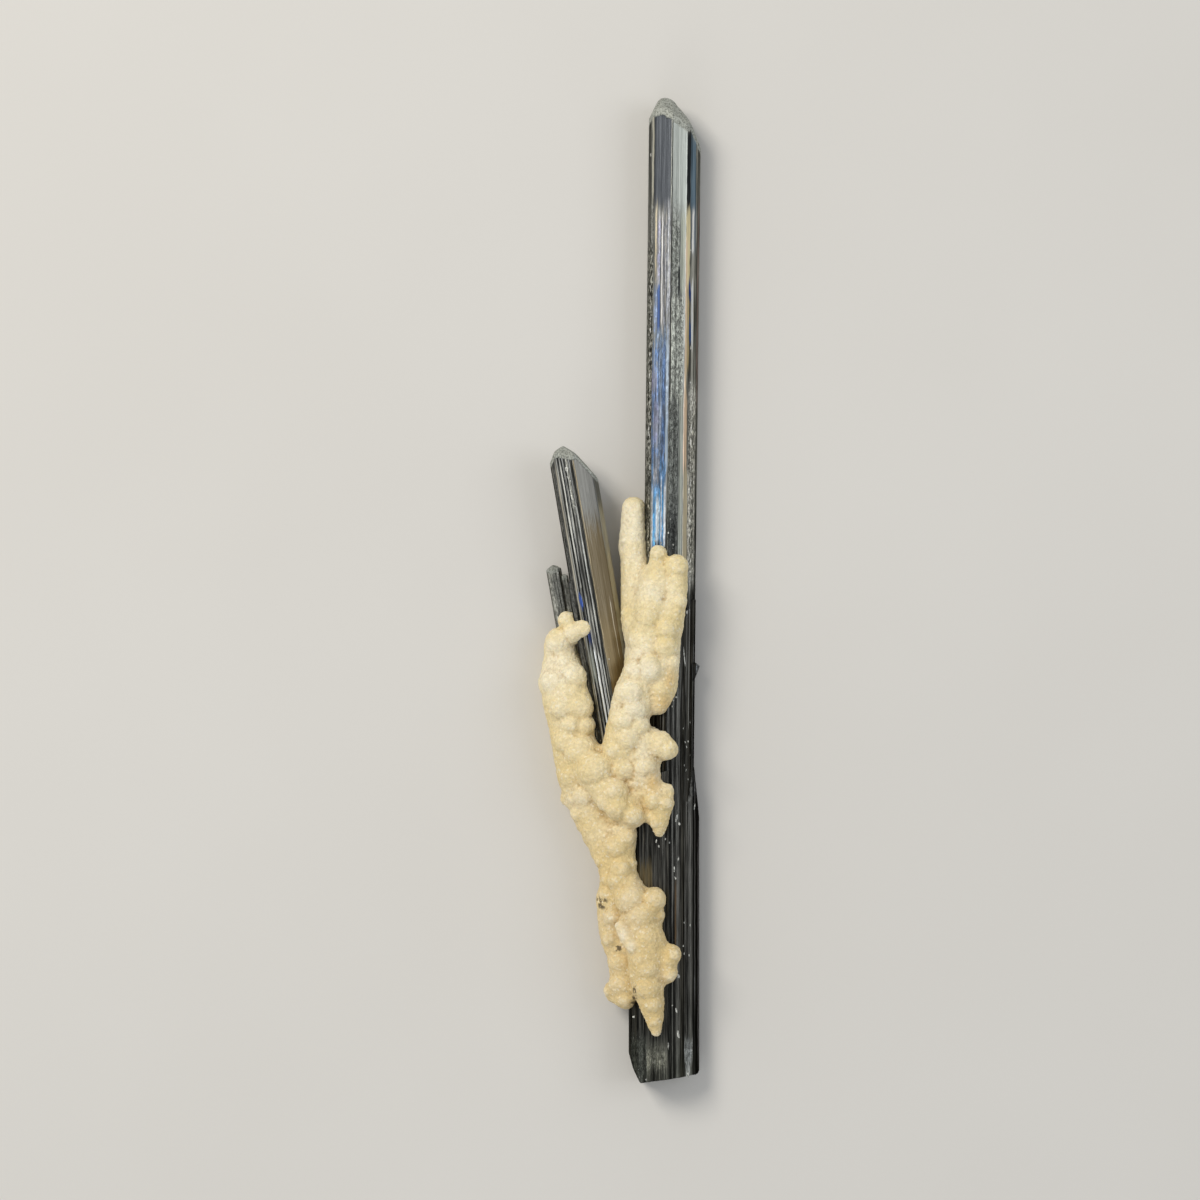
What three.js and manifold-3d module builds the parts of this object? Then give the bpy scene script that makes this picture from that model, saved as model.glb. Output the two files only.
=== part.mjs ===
// A stibnite cluster with a calcite crust, lying on its back.
// Millimetres, +Z up. The long crystal points along +Y, its front faces +Z, its flat back rests at Z = 0.
import * as THREE from "three";
import { mergeVertices } from "three/addons/utils/BufferGeometryUtils.js";
import Module from "manifold-3d";

const wasm = await Module();
wasm.setup();

// Driving dimensions. Everything is laid out from the lowest point of the long crystal's broken foot.
const LENGTH = 179.5;
const MAIN_DEPTH = 8.9;
const MAIN_LEAN = 0.0115;
const LEAN_START = 52;
const SIDE_LENGTH = 58.9;
const SIDE_TILT_DEG = 9.6;
const SIDE_RISE_DEG = 1.5;
const STUB_TILT_DEG = 10;
const STUB_RISE_DEG = 1;
const GAP = 0.3;

// From the foot of the long crystal to the middle of the whole object's box.
const BOX_MIDDLE = [-5.5, LENGTH / 2, 0];

// Growth striations run down every prism face but the resting one.
const STRIATION_PITCH = 0.75;
const STRIATION_DEPTH = 0.16;

// Prisms run this far past the faces that close them.
const SPARE = 2;

const SEEDS = { shaft: 11, companions: 20, side: 31, stubs: 41, crust: 7 };

// A small repeatable random number source, 0 to 1.
function randomSource(seed) {
  let state = seed;
  return () => {
    state = (state * 1664525 + 1013904223) % 4294967296;
    return state / 4294967296;
  };
}

// Solids and geometries.

function solidFrom(geometry) {
  const bare = geometry.index ? geometry.toNonIndexed() : geometry.clone();
  bare.deleteAttribute("normal");
  bare.deleteAttribute("uv");
  const merged = mergeVertices(bare, 1e-4);
  return new wasm.Manifold(
    new wasm.Mesh({
      numProp: 3,
      vertProperties: new Float32Array(merged.attributes.position.array),
      triVerts: new Uint32Array(merged.index.array),
    }),
  );
}

function geometryFrom(solid) {
  const mesh = solid.getMesh();
  const positions = new Float32Array(mesh.numVert * 3);
  for (let i = 0; i < mesh.numVert; i += 1) {
    const start = i * mesh.numProp;
    positions.set(mesh.vertProperties.subarray(start, start + 3), i * 3);
  }
  const geometry = new THREE.BufferGeometry();
  geometry.setAttribute("position", new THREE.BufferAttribute(positions, 3));
  geometry.setIndex(new THREE.BufferAttribute(mesh.triVerts, 1));
  geometry.computeVertexNormals();
  return geometry;
}

function joined(solids) {
  return solids.reduce((all, next) => all.add(next));
}

// The largest separate body of a solid: crumbs left over from a cut are dropped.
function largestBody(solid) {
  return solid.decompose().reduce((best, next) => (next.volume() > best.volume() ? next : best));
}

// Takes away everything on the outer side of each face. A margin moves the faces outwards.
function faceted(solid, faces, margin = 0) {
  const reach = 80;
  return faces.reduce((left, { point, normal }) => {
    const outward = new THREE.Vector3(...normal).normalize();
    const turn = new THREE.Quaternion().setFromUnitVectors(new THREE.Vector3(0, 0, 1), outward);
    const block = new THREE.BoxGeometry(2 * reach, 2 * reach, reach);
    block.translate(0, 0, reach / 2 + margin);
    block.applyQuaternion(turn);
    block.translate(...point);
    return left.subtract(solidFrom(block));
  }, solid);
}

// Sections: lists of [x, z] points that run clockwise, seen with +x right and +z up.

// The outward unit normal of the side from one point to the next.
function outwardOf([x, z], [nextX, nextZ]) {
  const side = Math.hypot(nextX - x, nextZ - z);
  return [-(nextZ - z) / side, (nextX - x) / side];
}

// Breaks each sloping side into shallow terraces. A side that lies on the table stays flat.
function striated(outline, pitch, depth, seed) {
  const random = randomSource(seed);
  return outline.flatMap((start, i) => {
    const end = outline[(i + 1) % outline.length];
    const [outX, outZ] = outwardOf(start, end);
    const side = Math.hypot(end[0] - start[0], end[1] - start[1]);
    const resting = start[1] === 0 && end[1] === 0;
    const ridges = resting ? 1 : Math.max(1, Math.floor(side / pitch));
    const points = [start];
    for (let k = 1; k < ridges; k += 1) {
      const t = (k + 0.5 * (random() - 0.5)) / ridges;
      const inset = k % 2 ? depth * (0.6 + 0.4 * random()) : 0;
      points.push([
        start[0] + (end[0] - start[0]) * t - outX * inset,
        start[1] + (end[1] - start[1]) * t - outZ * inset,
      ]);
    }
    return points;
  });
}

// The same convex outline, moved outwards by a margin.
function swollen(outline, margin) {
  return outline.map((point, i) => {
    const before = outline[(i + outline.length - 1) % outline.length];
    const after = outline[(i + 1) % outline.length];
    const [ax, az] = outwardOf(before, point);
    const [bx, bz] = outwardOf(point, after);
    const share = margin / (1 + ax * bx + az * bz);
    return [point[0] + (ax + bx) * share, point[1] + (az + bz) * share];
  });
}

// A prism along +Y from y = 0 to length.
function prism(outline, length, steps = 1) {
  const shape = new THREE.Shape(outline.map(([x, z]) => new THREE.Vector2(x, z)));
  const geometry = new THREE.ExtrudeGeometry(shape, { depth: length, steps, bevelEnabled: false });
  geometry.rotateX(Math.PI / 2);
  geometry.translate(0, length, 0);
  return geometry;
}

// The long crystal.

// Its shaft, from the left edge over the front ridge and the right edge to the flat back.
const MAIN_SECTION = [
  [-1.6, 4.2],
  [-1.05, 6.5],
  [-0.3, 7.4],
  [2.65, MAIN_DEPTH],
  [5.4, 8.3],
  [7.0, 6.1],
  [7.95, 3.9],
  [7.2, 1.2],
  [6.0, 0],
  [0.6, 0],
  [-0.8, 1.3],
];

// The faces that close its tip: a point on each and its outward direction.
const MAIN_TIP = [
  { point: [7.1, 174.4, 4.5], normal: [0.8, 0.59, 0.05] },
  { point: [9.2, 170.0, 4.5], normal: [0.91, 0.41, 0.05] },
  { point: [2.8, LENGTH, 4.5], normal: [0.1, 1, 0.05] },
  { point: [-0.2, 174.4, 4.5], normal: [-0.95, 0.32, 0.05] },
  { point: [0.9, 177.6, 4.5], normal: [-0.8, 0.6, 0.05] },
  { point: [2.6, LENGTH, 5.2], normal: [0.06, 0.74, 0.67] },
  { point: [1.2, 177.6, 6.6], normal: [-0.5, 0.62, 0.6] },
  { point: [5.0, 176.0, 7.2], normal: [0.55, 0.6, 0.58] },
  { point: [2.6, LENGTH, 4.6], normal: [0, 0.72, -0.69] },
];

// The faces of its broken foot.
const MAIN_FOOT = [
  { point: [-1.8, 0, 5.0], normal: [0.141, -0.985, 0.06] },
  { point: [-3.1, 2.5, 4.0], normal: [-0.96, -0.27, 0.02] },
  { point: [-3.1, 2.5, 4.0], normal: [-0.88, -0.46, 0.02] },
  { point: [8.9, 1.7, 4.0], normal: [0.8, -0.6, 0] },
  { point: [3.5, 0.6, 8.6], normal: [0.05, -0.8, 0.6] },
];

// Thinner crystals grown along it: section, stretch along y, and the faces that end them.
const MAIN_COMPANIONS = [
  {
    outline: [[-3.9, 2.9], [-3.6, 6.3], [-2.4, 8.2], [3.4, 9.5], [3.4, 3.0], [-0.5, 1.0], [-2.6, 0.9]],
    stretch: [-SPARE, 57],
    ends: [{ point: [-3.0, 55, 5], normal: [-0.5, 0.8, 0.3] }],
  },
  {
    outline: [[6.2, 1.6], [6.2, 8.3], [7.6, 7.4], [8.8, 5.1], [9.1, 3.6], [8.3, 1.7]],
    stretch: [-SPARE, 49.5],
    ends: [{ point: [8.9, 47.5, 4], normal: [0.75, 0.64, 0.2] }],
  },
  {
    outline: [[7.2, 2.8], [7.2, 5.2], [8.1, 5.4], [8.9, 4.1], [8.4, 2.8]],
    stretch: [71, 78.4],
    ends: [
      { point: [8.9, 76, 4.1], normal: [0.8, 0.6, 0.1] },
      { point: [8.9, 75.6, 4.1], normal: [0.98, -0.2, 0] },
    ],
  },
];

// The shaft leans slightly to the right above the crust.
function leaned(geometry) {
  const at = geometry.attributes.position;
  for (let i = 0; i < at.count; i += 1) {
    at.setX(i, at.getX(i) + MAIN_LEAN * Math.max(0, at.getY(i) - LEAN_START));
  }
  return geometry;
}

function mainShaft(outline) {
  const steps = 8;
  return solidFrom(leaned(prism(outline, LENGTH + 2 * SPARE, steps).translate(0, -SPARE, 0)));
}

function companion({ stretch: [from, to], ends }, outline, margin = 0) {
  const blade = prism(outline, to - from + 2 * margin).translate(0, from - margin, 0);
  return faceted(solidFrom(blade), ends, margin);
}

function makeMainCrystal() {
  const section = striated(MAIN_SECTION, STRIATION_PITCH, STRIATION_DEPTH, SEEDS.shaft);
  const shaft = faceted(mainShaft(section), MAIN_TIP);
  const companions = MAIN_COMPANIONS.map((blade, i) =>
    companion(blade, striated(blade.outline, STRIATION_PITCH, STRIATION_DEPTH, SEEDS.companions + i)),
  );
  return largestBody(faceted(joined([shaft, ...companions]), MAIN_FOOT));
}

// The side crystal, in an upright frame of its own: x across, y up from the root, z depth.
const SIDE_SECTION = [
  [-4.1, 2.3],
  [-3.7, 3.8],
  [-2.7, 4.8],
  [0.2, 5.6],
  [3.3, 4.1],
  [4.15, 2.9],
  [3.7, 0.9],
  [2.6, 0.1],
  [-2.5, 0.1],
  [-3.6, 0.8],
];
const SIDE_ROOT = [-4.9, 58.2, 3.0];
const SIDE_TIP = [
  { point: [0.7, 57.2, 2.8], normal: [0.84, 0.54, 0.05] },
  { point: [0.7, 57.2, 2.8], normal: [0.67, 0.74, 0.05] },
  { point: [-4.1, 55.9, 2.8], normal: [-0.86, 0.51, 0.05] },
  { point: [-2.8, 58.1, 2.8], normal: [-0.43, 0.9, 0.05] },
  { point: [-1.2, SIDE_LENGTH, 3.2], normal: [0.05, 0.75, 0.66] },
  { point: [-1.2, SIDE_LENGTH, 2.4], normal: [0, 0.75, -0.66] },
];

// A sliver grown along its left edge.
const SLIVER_SECTION = [[-4.4, 1.9], [-4.5, 3.2], [-3.5, 4.1], [-3.2, 1.7]];
const SLIVER_LENGTH = 34.6;
const SLIVER_END = { point: [-4.3, SLIVER_LENGTH - 0.4, 2.4], normal: [-0.6, 0.8, 0] };

// Leans an upright crystal to the left and lifts its tip, then sets its root in place.
function planted(geometry, root, tiltDeg, riseDeg) {
  geometry.rotateX(THREE.MathUtils.degToRad(riseDeg));
  geometry.rotateZ(THREE.MathUtils.degToRad(tiltDeg));
  geometry.translate(...root);
  return geometry;
}

function plantedSide(geometry) {
  return solidFrom(planted(geometry, SIDE_ROOT, SIDE_TILT_DEG, SIDE_RISE_DEG));
}

function makeSideCrystal(mainSeat) {
  const section = striated(SIDE_SECTION, STRIATION_PITCH, STRIATION_DEPTH, SEEDS.side);
  const blade = faceted(solidFrom(prism(section, SIDE_LENGTH + SPARE)), SIDE_TIP);
  const sliver = faceted(solidFrom(prism(SLIVER_SECTION, SLIVER_LENGTH)), [SLIVER_END]);
  return largestBody(plantedSide(geometryFrom(blade.add(sliver))).subtract(mainSeat));
}

// The pair of short crystals left of the side crystal, in an upright frame of their own.
const STUBS = [
  {
    outline: [[-1.45, 1.2], [-1.2, 2.2], [-0.2, 2.8], [0.9, 2.4], [1.4, 1.4], [1.0, 0.3], [-0.8, 0.2]],
    x: 0,
    length: 14.8,
  },
  { outline: [[-0.7, 1.0], [-0.4, 1.9], [0.5, 1.8], [0.75, 1.0], [0.3, 0.4]], x: 1.65, length: 12.8 },
];
const STUB_ROOT = [-15.1, 79.6, 2.4];
const STUB_PITCH = 0.5;
const STUB_STRIATION_DEPTH = 0.08;

function plantedStub(geometry) {
  return solidFrom(planted(geometry, STUB_ROOT, STUB_TILT_DEG, STUB_RISE_DEG));
}

function makeStubCrystals() {
  const stubs = STUBS.map(({ outline, x, length }, i) => {
    const section = striated(outline, STUB_PITCH, STUB_STRIATION_DEPTH, SEEDS.stubs + i);
    return faceted(solidFrom(prism(section, length + SPARE).translate(x, 0, 0)), [
      { point: [x - 0.4, length, 1.4], normal: [-0.5, 0.86, 0.05] },
      { point: [x + 0.3, length, 1.4], normal: [0.5, 0.86, 0.05] },
      { point: [x, length, 1.8], normal: [0, 0.75, 0.66] },
    ]);
  });
  return plantedStub(geometryFrom(joined(stubs)));
}

// The calcite crust. Its lumpy fingers follow these paths, given as [x, y, z, radius].
const CRUST_FINGERS = {
  besideShaft: [
    [-3.0, 104.5, 4.4, 2.2], [-3.1, 101.0, 4.5, 2.3], [-3.2, 98.0, 4.6, 2.5], [-2.7, 94.0, 5.0, 2.6],
    [-2.3, 89.5, 5.6, 3.1], [-2.2, 84.5, 6.4, 3.2], [-1.9, 79.5, 7.4, 2.6], [-2.2, 75.5, 8.0, 2.6],
  ],
  overShaft: [
    [0.4, 91.8, 8.0, 2.4], [0.4, 88.4, 8.6, 3.1], [0.2, 84.6, 8.8, 3.4], [-0.4, 79.8, 9.0, 3.6],
    [-1.4, 75.0, 9.2, 3.5], [-2.9, 70.6, 9.0, 3.9], [-4.0, 66.0, 8.8, 3.7], [-4.8, 61.5, 8.6, 3.8],
    [-5.2, 57.0, 8.4, 4.0], [-5.4, 53.0, 8.6, 3.8], [-4.8, 49.6, 8.8, 3.0],
  ],
  middleTip: [[1.5, 96.6, 8.2, 1.3], [1.4, 93.8, 8.4, 1.9], [1.6, 90.6, 8.8, 2.3]],
  rightSide: [
    [4.9, 93.9, 8.7, 1.9], [4.5, 90.4, 8.8, 2.4], [3.8, 86.0, 9.0, 2.6], [2.7, 81.0, 9.0, 2.9],
    [2.5, 76.6, 9.0, 2.8], [2.2, 72.4, 9.0, 2.8], [1.2, 69.4, 8.8, 2.3],
  ],
  elbow: [[-3.2, 62.8, 8.6, 3.5], [-0.4, 61.9, 9.1, 3.1], [3.0, 61.0, 9.8, 2.0]],
  rightTail: [
    [-1.4, 60.4, 9.0, 3.2], [-0.9, 56.4, 9.2, 2.7], [0.1, 53.4, 9.5, 2.1], [2.1, 51.3, 9.9, 2.2],
    [1.8, 48.6, 9.8, 1.7], [1.6, 46.0, 9.7, 1.1],
  ],
  middleLobe: [[-2.8, 54.0, 9.2, 2.7], [-2.1, 49.5, 9.6, 2.3]],
  leftColumn: [
    [-16.5, 79.8, 4.0, 2.8], [-16.1, 76.8, 3.8, 3.3], [-15.6, 73.4, 4.2, 4.4], [-14.9, 69.8, 4.6, 4.7],
    [-14.2, 66.0, 4.4, 4.4], [-13.6, 62.0, 4.3, 4.3], [-13.0, 57.0, 4.3, 4.2], [-11.6, 52.6, 4.5, 4.1],
    [-9.8, 48.4, 5.0, 4.2], [-7.8, 44.4, 5.6, 4.0], [-5.9, 40.4, 6.0, 3.8], [-5.6, 36.6, 6.2, 3.3],
    [-6.4, 33.4, 5.8, 3.4], [-6.1, 30.0, 5.6, 3.5], [-5.9, 26.6, 5.6, 3.2], [-4.8, 22.8, 5.8, 2.7],
    [-4.5, 19.0, 5.8, 2.8], [-4.4, 15.9, 5.8, 2.5],
  ],
  lowerShaft: [
    [-5.0, 45.6, 8.0, 2.7], [-5.4, 41.0, 8.0, 2.6], [-4.9, 37.0, 8.2, 2.8], [-3.0, 33.4, 8.8, 3.2],
    [-1.8, 29.6, 9.2, 3.6], [-0.8, 25.8, 9.4, 3.7], [-0.6, 21.6, 9.4, 3.4], [-0.4, 17.6, 9.3, 2.8],
    [0.3, 14.4, 9.4, 2.2], [0.8, 12.0, 9.5, 1.6], [1.1, 9.6, 9.6, 0.9],
  ],
  paleRod: [[-4.3, 30.6, 11.8, 0.8], [-3.0, 25.8, 12.3, 0.9]],
};

// Single knobs on them, given the same way.
const CRUST_KNOBS = [
  [-15.0, 84.2, 5.4, 1.8], [-13.8, 82.0, 6.0, 2.0], [-12.1, 82.8, 7.6, 1.7],
  [-17.8, 72.6, 4.0, 2.6], [-14.8, 51.8, 3.8, 1.6],
  [0.2, 75.3, 11.6, 2.1], [0.6, 33.6, 9.6, 2.3], [0.9, 30.8, 9.5, 1.8],
  [3.6, 23.7, 9.8, 2.0], [2.8, 20.5, 9.7, 2.1], [-6.0, 16.7, 4.8, 2.3],
];

const FINGER_SIDES = 10;
const FINGER_RING_STEP = 1.7;
const FINGER_CAP_RINGS = 3;
const SWELLING = 0.09;
const SWELLING_PITCH = 4.6;

// The profile of a straight finger, as (radius, along) points from one round end to the other.
function fingerProfile(path, curve) {
  const length = curve.getLength();
  const radii = new THREE.CatmullRomCurve3(path.map(([, , , radius], i) => new THREE.Vector3(i, radius, 0)));
  const rings = Math.max(1, Math.round(length / FINGER_RING_STEP));
  const middle = Array.from({ length: rings + 1 }, (_, i) => {
    const share = i / rings;
    return new THREE.Vector2(radii.getPoint(curve.getUtoTmapping(share)).y, share * length);
  });
  const cap = Array.from({ length: FINGER_CAP_RINGS }, (_, i) => (i / FINGER_CAP_RINGS) * (Math.PI / 2));
  const first = path[0][3];
  const last = path[path.length - 1][3];
  return [
    ...cap.map((turn) => new THREE.Vector2(first * Math.sin(turn), -first * Math.cos(turn))),
    ...middle,
    ...cap.map((turn) => new THREE.Vector2(last * Math.sin(turn), length + last * Math.cos(turn))).reverse(),
  ];
}

// A closed lathe with gentle swellings, bent to follow its path.
function finger(path, phase) {
  const curve = new THREE.CatmullRomCurve3(path.map(([x, y, z]) => new THREE.Vector3(x, y, z)));
  const length = curve.getLength();
  const geometry = new THREE.LatheGeometry(fingerProfile(path, curve), FINGER_SIDES);
  const at = geometry.attributes.position;
  const up = new THREE.Vector3(0, 0, 1);
  for (let i = 0; i < at.count; i += 1) {
    const straight = new THREE.Vector3().fromBufferAttribute(at, i);
    const share = THREE.MathUtils.clamp(straight.y / length, 0, 1);
    const tangent = curve.getTangentAt(share);
    const across = tangent.clone().cross(up).normalize();
    const outward = across.clone().cross(tangent);
    const turn = Math.atan2(straight.z, straight.x);
    const wave = (2 * Math.PI * straight.y) / SWELLING_PITCH + 2 * turn + phase;
    const swell = 1 + SWELLING * Math.sin(wave);
    const bent = curve.getPointAt(share);
    bent.addScaledVector(across, straight.x * swell);
    bent.addScaledVector(outward, straight.z * swell);
    bent.addScaledVector(tangent, straight.y - share * length);
    at.setXYZ(i, ...bent);
  }
  return solidFrom(geometry);
}

function knob([x, y, z, radius], turn) {
  const geometry = new THREE.IcosahedronGeometry(radius, 1);
  geometry.rotateX(turn);
  geometry.rotateZ(turn);
  return solidFrom(geometry.translate(x, y, z));
}

function makeCrust(seats) {
  const random = randomSource(SEEDS.crust);
  const turned = () => 2 * Math.PI * random();
  const fingers = Object.values(CRUST_FINGERS).map((path) => finger(path, turned()));
  const knobs = CRUST_KNOBS.map((place) => knob(place, turned()));
  const table = { point: [0, 0, 0], normal: [0, 0, -1] };
  return largestBody(faceted(joined([...fingers, ...knobs]).subtract(seats), [table]));
}

// Finishes.
const FINISHES = {
  stibnite: new THREE.MeshStandardMaterial({ color: 0x6f7276, metalness: 0.9, roughness: 0.3 }),
  calcite: new THREE.MeshStandardMaterial({ color: 0xe2d2a2, metalness: 0, roughness: 0.75 }),
};

function named(name, solid, material) {
  const mesh = new THREE.Mesh(geometryFrom(solid), material);
  mesh.name = name;
  return mesh;
}

// The seats that the crystals leave in what lies against them.
function seat(outline, length) {
  return prism(swollen(outline, GAP), length + 2 * GAP).translate(0, -GAP, 0);
}

const mainSeat = joined([
  mainShaft(swollen(MAIN_SECTION, GAP)),
  ...MAIN_COMPANIONS.map((blade) => companion(blade, swollen(blade.outline, GAP), GAP)),
]);
const sideSeat = joined([
  plantedSide(seat(SIDE_SECTION, SIDE_LENGTH)),
  plantedSide(seat(SLIVER_SECTION, SLIVER_LENGTH)),
]);
const stubSeat = joined(
  STUBS.map(({ outline, x, length }) => plantedStub(seat(outline, length).translate(x, 0, 0))),
);

const specimen = new THREE.Group();
specimen.add(
  named("main_crystal", makeMainCrystal(), FINISHES.stibnite),
  named("side_crystal", makeSideCrystal(mainSeat), FINISHES.stibnite),
  named("stub_crystals", makeStubCrystals(), FINISHES.stibnite),
  named("calcite_crust", makeCrust(joined([mainSeat, sideSeat, stubSeat])), FINISHES.calcite),
);
specimen.position.set(-BOX_MIDDLE[0], -BOX_MIDDLE[1], -BOX_MIDDLE[2]);

export default new THREE.Group().add(specimen);
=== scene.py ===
"""Stibnite with calcite: the looks of a mineral specimen that lies on its back.

A long striated crystal, a shorter leaning one and two stubs are held together by a lumpy cream crust of
calcite. Everything is shaped in millimetres in the specimen's own frame: x is 0 near the long crystal's left
edge, y is 0 at its foot and z is 0 on the floor. A finished mesh is then moved to the part's frame, in
metres.
"""

import logging
import math
import random
from dataclasses import dataclass
from enum import Enum

import bmesh
import bpy
import numpy as np
from mathutils import Matrix, Vector, kdtree, noise
from mathutils.bvhtree import BVHTree


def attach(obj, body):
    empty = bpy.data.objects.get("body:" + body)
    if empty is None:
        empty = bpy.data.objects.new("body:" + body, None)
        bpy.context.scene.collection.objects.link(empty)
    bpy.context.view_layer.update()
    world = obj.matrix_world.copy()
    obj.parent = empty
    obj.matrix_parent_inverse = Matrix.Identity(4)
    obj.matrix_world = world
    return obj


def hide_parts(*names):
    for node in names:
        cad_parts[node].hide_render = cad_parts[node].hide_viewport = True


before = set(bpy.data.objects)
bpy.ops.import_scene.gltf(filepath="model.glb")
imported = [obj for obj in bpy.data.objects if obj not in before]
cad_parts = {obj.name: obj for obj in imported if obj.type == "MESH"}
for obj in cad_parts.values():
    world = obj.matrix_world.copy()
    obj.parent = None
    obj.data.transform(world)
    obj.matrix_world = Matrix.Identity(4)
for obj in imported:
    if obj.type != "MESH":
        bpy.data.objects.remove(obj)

log = logging.getLogger("stibnite")

METRES = 0.001
# The middle of the part's bottom face in the specimen's own frame, and the moves between the two frames.
BOX_MIDDLE = Vector((-5.5, 89.75, 0.0))
TO_PART = Matrix.Scale(METRES, 4) @ Matrix.Translation(-BOX_MIDDLE)
FROM_PART = Matrix.Translation(BOX_MIDDLE) @ Matrix.Scale(1 / METRES, 4)
# Vertices closer than this are one, in millimetres.
MERGE = 1e-4
# Rays start this far above and beside the specimen, in millimetres.
ABOVE, BESIDE = 40.0, 60.0
DOWN = Vector((0.0, 0.0, -1.0))
# Edges between crystal faces that bend more than this stay sharp.
CRYSTAL_SHARP_DEG = 32

Socket = bpy.types.NodeSocket
Mesh = bpy.types.Mesh
Material = bpy.types.Material

Point = tuple[float, float, float]
Outline = tuple[tuple[float, float], ...]
Lump = tuple[float, float, float, float]
Bulge = tuple[float, float, float, float]
Mark = tuple[float, float, float, float]
Fleck = tuple[float, float, float, float, float]
Lamp = tuple[str, Point, float, float, str]


def linear(code: str) -> tuple[float, float, float, float]:
    """Turns a colour code such as #C9C6B4 into the linear colour that shaders take.

    Args:
        code: The colour as a hash sign and six hexadecimal digits.

    Returns:
        Red, green, blue and alpha, each from 0 to 1.
    """
    parts = [int(code[i : i + 2], 16) / 255 for i in (1, 3, 5)]
    red, green, blue = (p / 12.92 if p <= 0.04045 else ((p + 0.055) / 1.055) ** 2.4 for p in parts)
    return red, green, blue, 1.0


def placed(name: str, data: bpy.types.ID) -> bpy.types.Object:
    """Makes an object of a mesh, a light or a camera, in the scene.

    Args:
        name: The object's name.
        data: What it shows.

    Returns:
        The object.
    """
    thing = bpy.data.objects.new(name, data)
    bpy.context.scene.collection.objects.link(thing)
    return thing


def settled(shell: bmesh.types.BMesh, mesh: Mesh) -> Mesh:
    """Writes an edited shell to a mesh.

    Args:
        shell: The shell, which is freed.
        mesh: The mesh to write to.

    Returns:
        The mesh.
    """
    shell.to_mesh(mesh)
    shell.free()
    return mesh


def noted(mesh: Mesh, values: dict[str, np.ndarray]) -> None:
    """Keeps numbers at a mesh's vertices, for its material.

    Args:
        mesh: The mesh.
        values: A number for each vertex, by name.
    """
    for key, numbers in values.items():
        mesh.attributes.new(key, "FLOAT", "POINT").data.foreach_set("value", numbers.astype(np.float32))


def planting(root: Point, tilt_deg: float, rise_deg: float) -> Matrix:
    """Finds the move that plants an upright crystal.

    Args:
        root: Where its foot goes.
        tilt_deg: How far it leans to the left.
        rise_deg: How far its tip comes up from the floor.

    Returns:
        The move from the crystal's upright frame to the specimen's.
    """
    tilt = Matrix.Rotation(math.radians(tilt_deg), 4, "Z")
    rise = Matrix.Rotation(math.radians(rise_deg), 4, "X")
    return Matrix.Translation(root) @ tilt @ rise


def finished(name: str, mesh: Mesh, material: Material, sharp_deg: float) -> bpy.types.Object:
    """Moves a mesh from the specimen's frame to the part's frame and makes it an object.

    Args:
        name: The object's name.
        mesh: The mesh, in millimetres.
        material: Its finish.
        sharp_deg: Edges that bend more than this many degrees stay sharp.

    Returns:
        The object, at the origin.
    """
    mesh.transform(TO_PART)
    mesh.shade_smooth()
    mesh.set_sharp_from_angle(angle=math.radians(sharp_deg))
    mesh.materials.clear()
    mesh.materials.append(material)
    return placed(name, mesh)


def declare(piece: bpy.types.Object, slot: str, *nodes: str) -> None:
    """Tells the frame what a piece rides on, and hides the solids that it stands for.

    Args:
        piece: The finished piece.
        slot: Not used.
        nodes: The solids that it replaces, if any.
    """
    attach(piece, "root")
    if nodes:
        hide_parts(*nodes)


def evaluated(name: str, mesh: Mesh, kind: str, **settings: object) -> Mesh:
    """Applies one modifier to a mesh.

    Args:
        name: The name of the new mesh.
        mesh: The mesh to change, which is deleted.
        kind: The modifier's type.
        settings: The modifier's values.

    Returns:
        The changed mesh.
    """
    holder = placed(name, mesh)
    modifier = holder.modifiers.new(kind.title(), kind)
    for key, value in settings.items():
        setattr(modifier, key, value)
    graph = bpy.context.evaluated_depsgraph_get()
    result = bpy.data.meshes.new_from_object(holder.evaluated_get(graph))
    bpy.data.objects.remove(holder)
    bpy.data.meshes.remove(mesh)
    result.name = name
    return result


def places(mesh: Mesh) -> np.ndarray:
    """Reads a mesh's vertex positions.

    Args:
        mesh: The mesh.

    Returns:
        The positions, one row each.
    """
    flat = np.empty(len(mesh.vertices) * 3, np.float32)
    mesh.vertices.foreach_get("co", flat)
    return flat.reshape(-1, 3)


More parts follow.
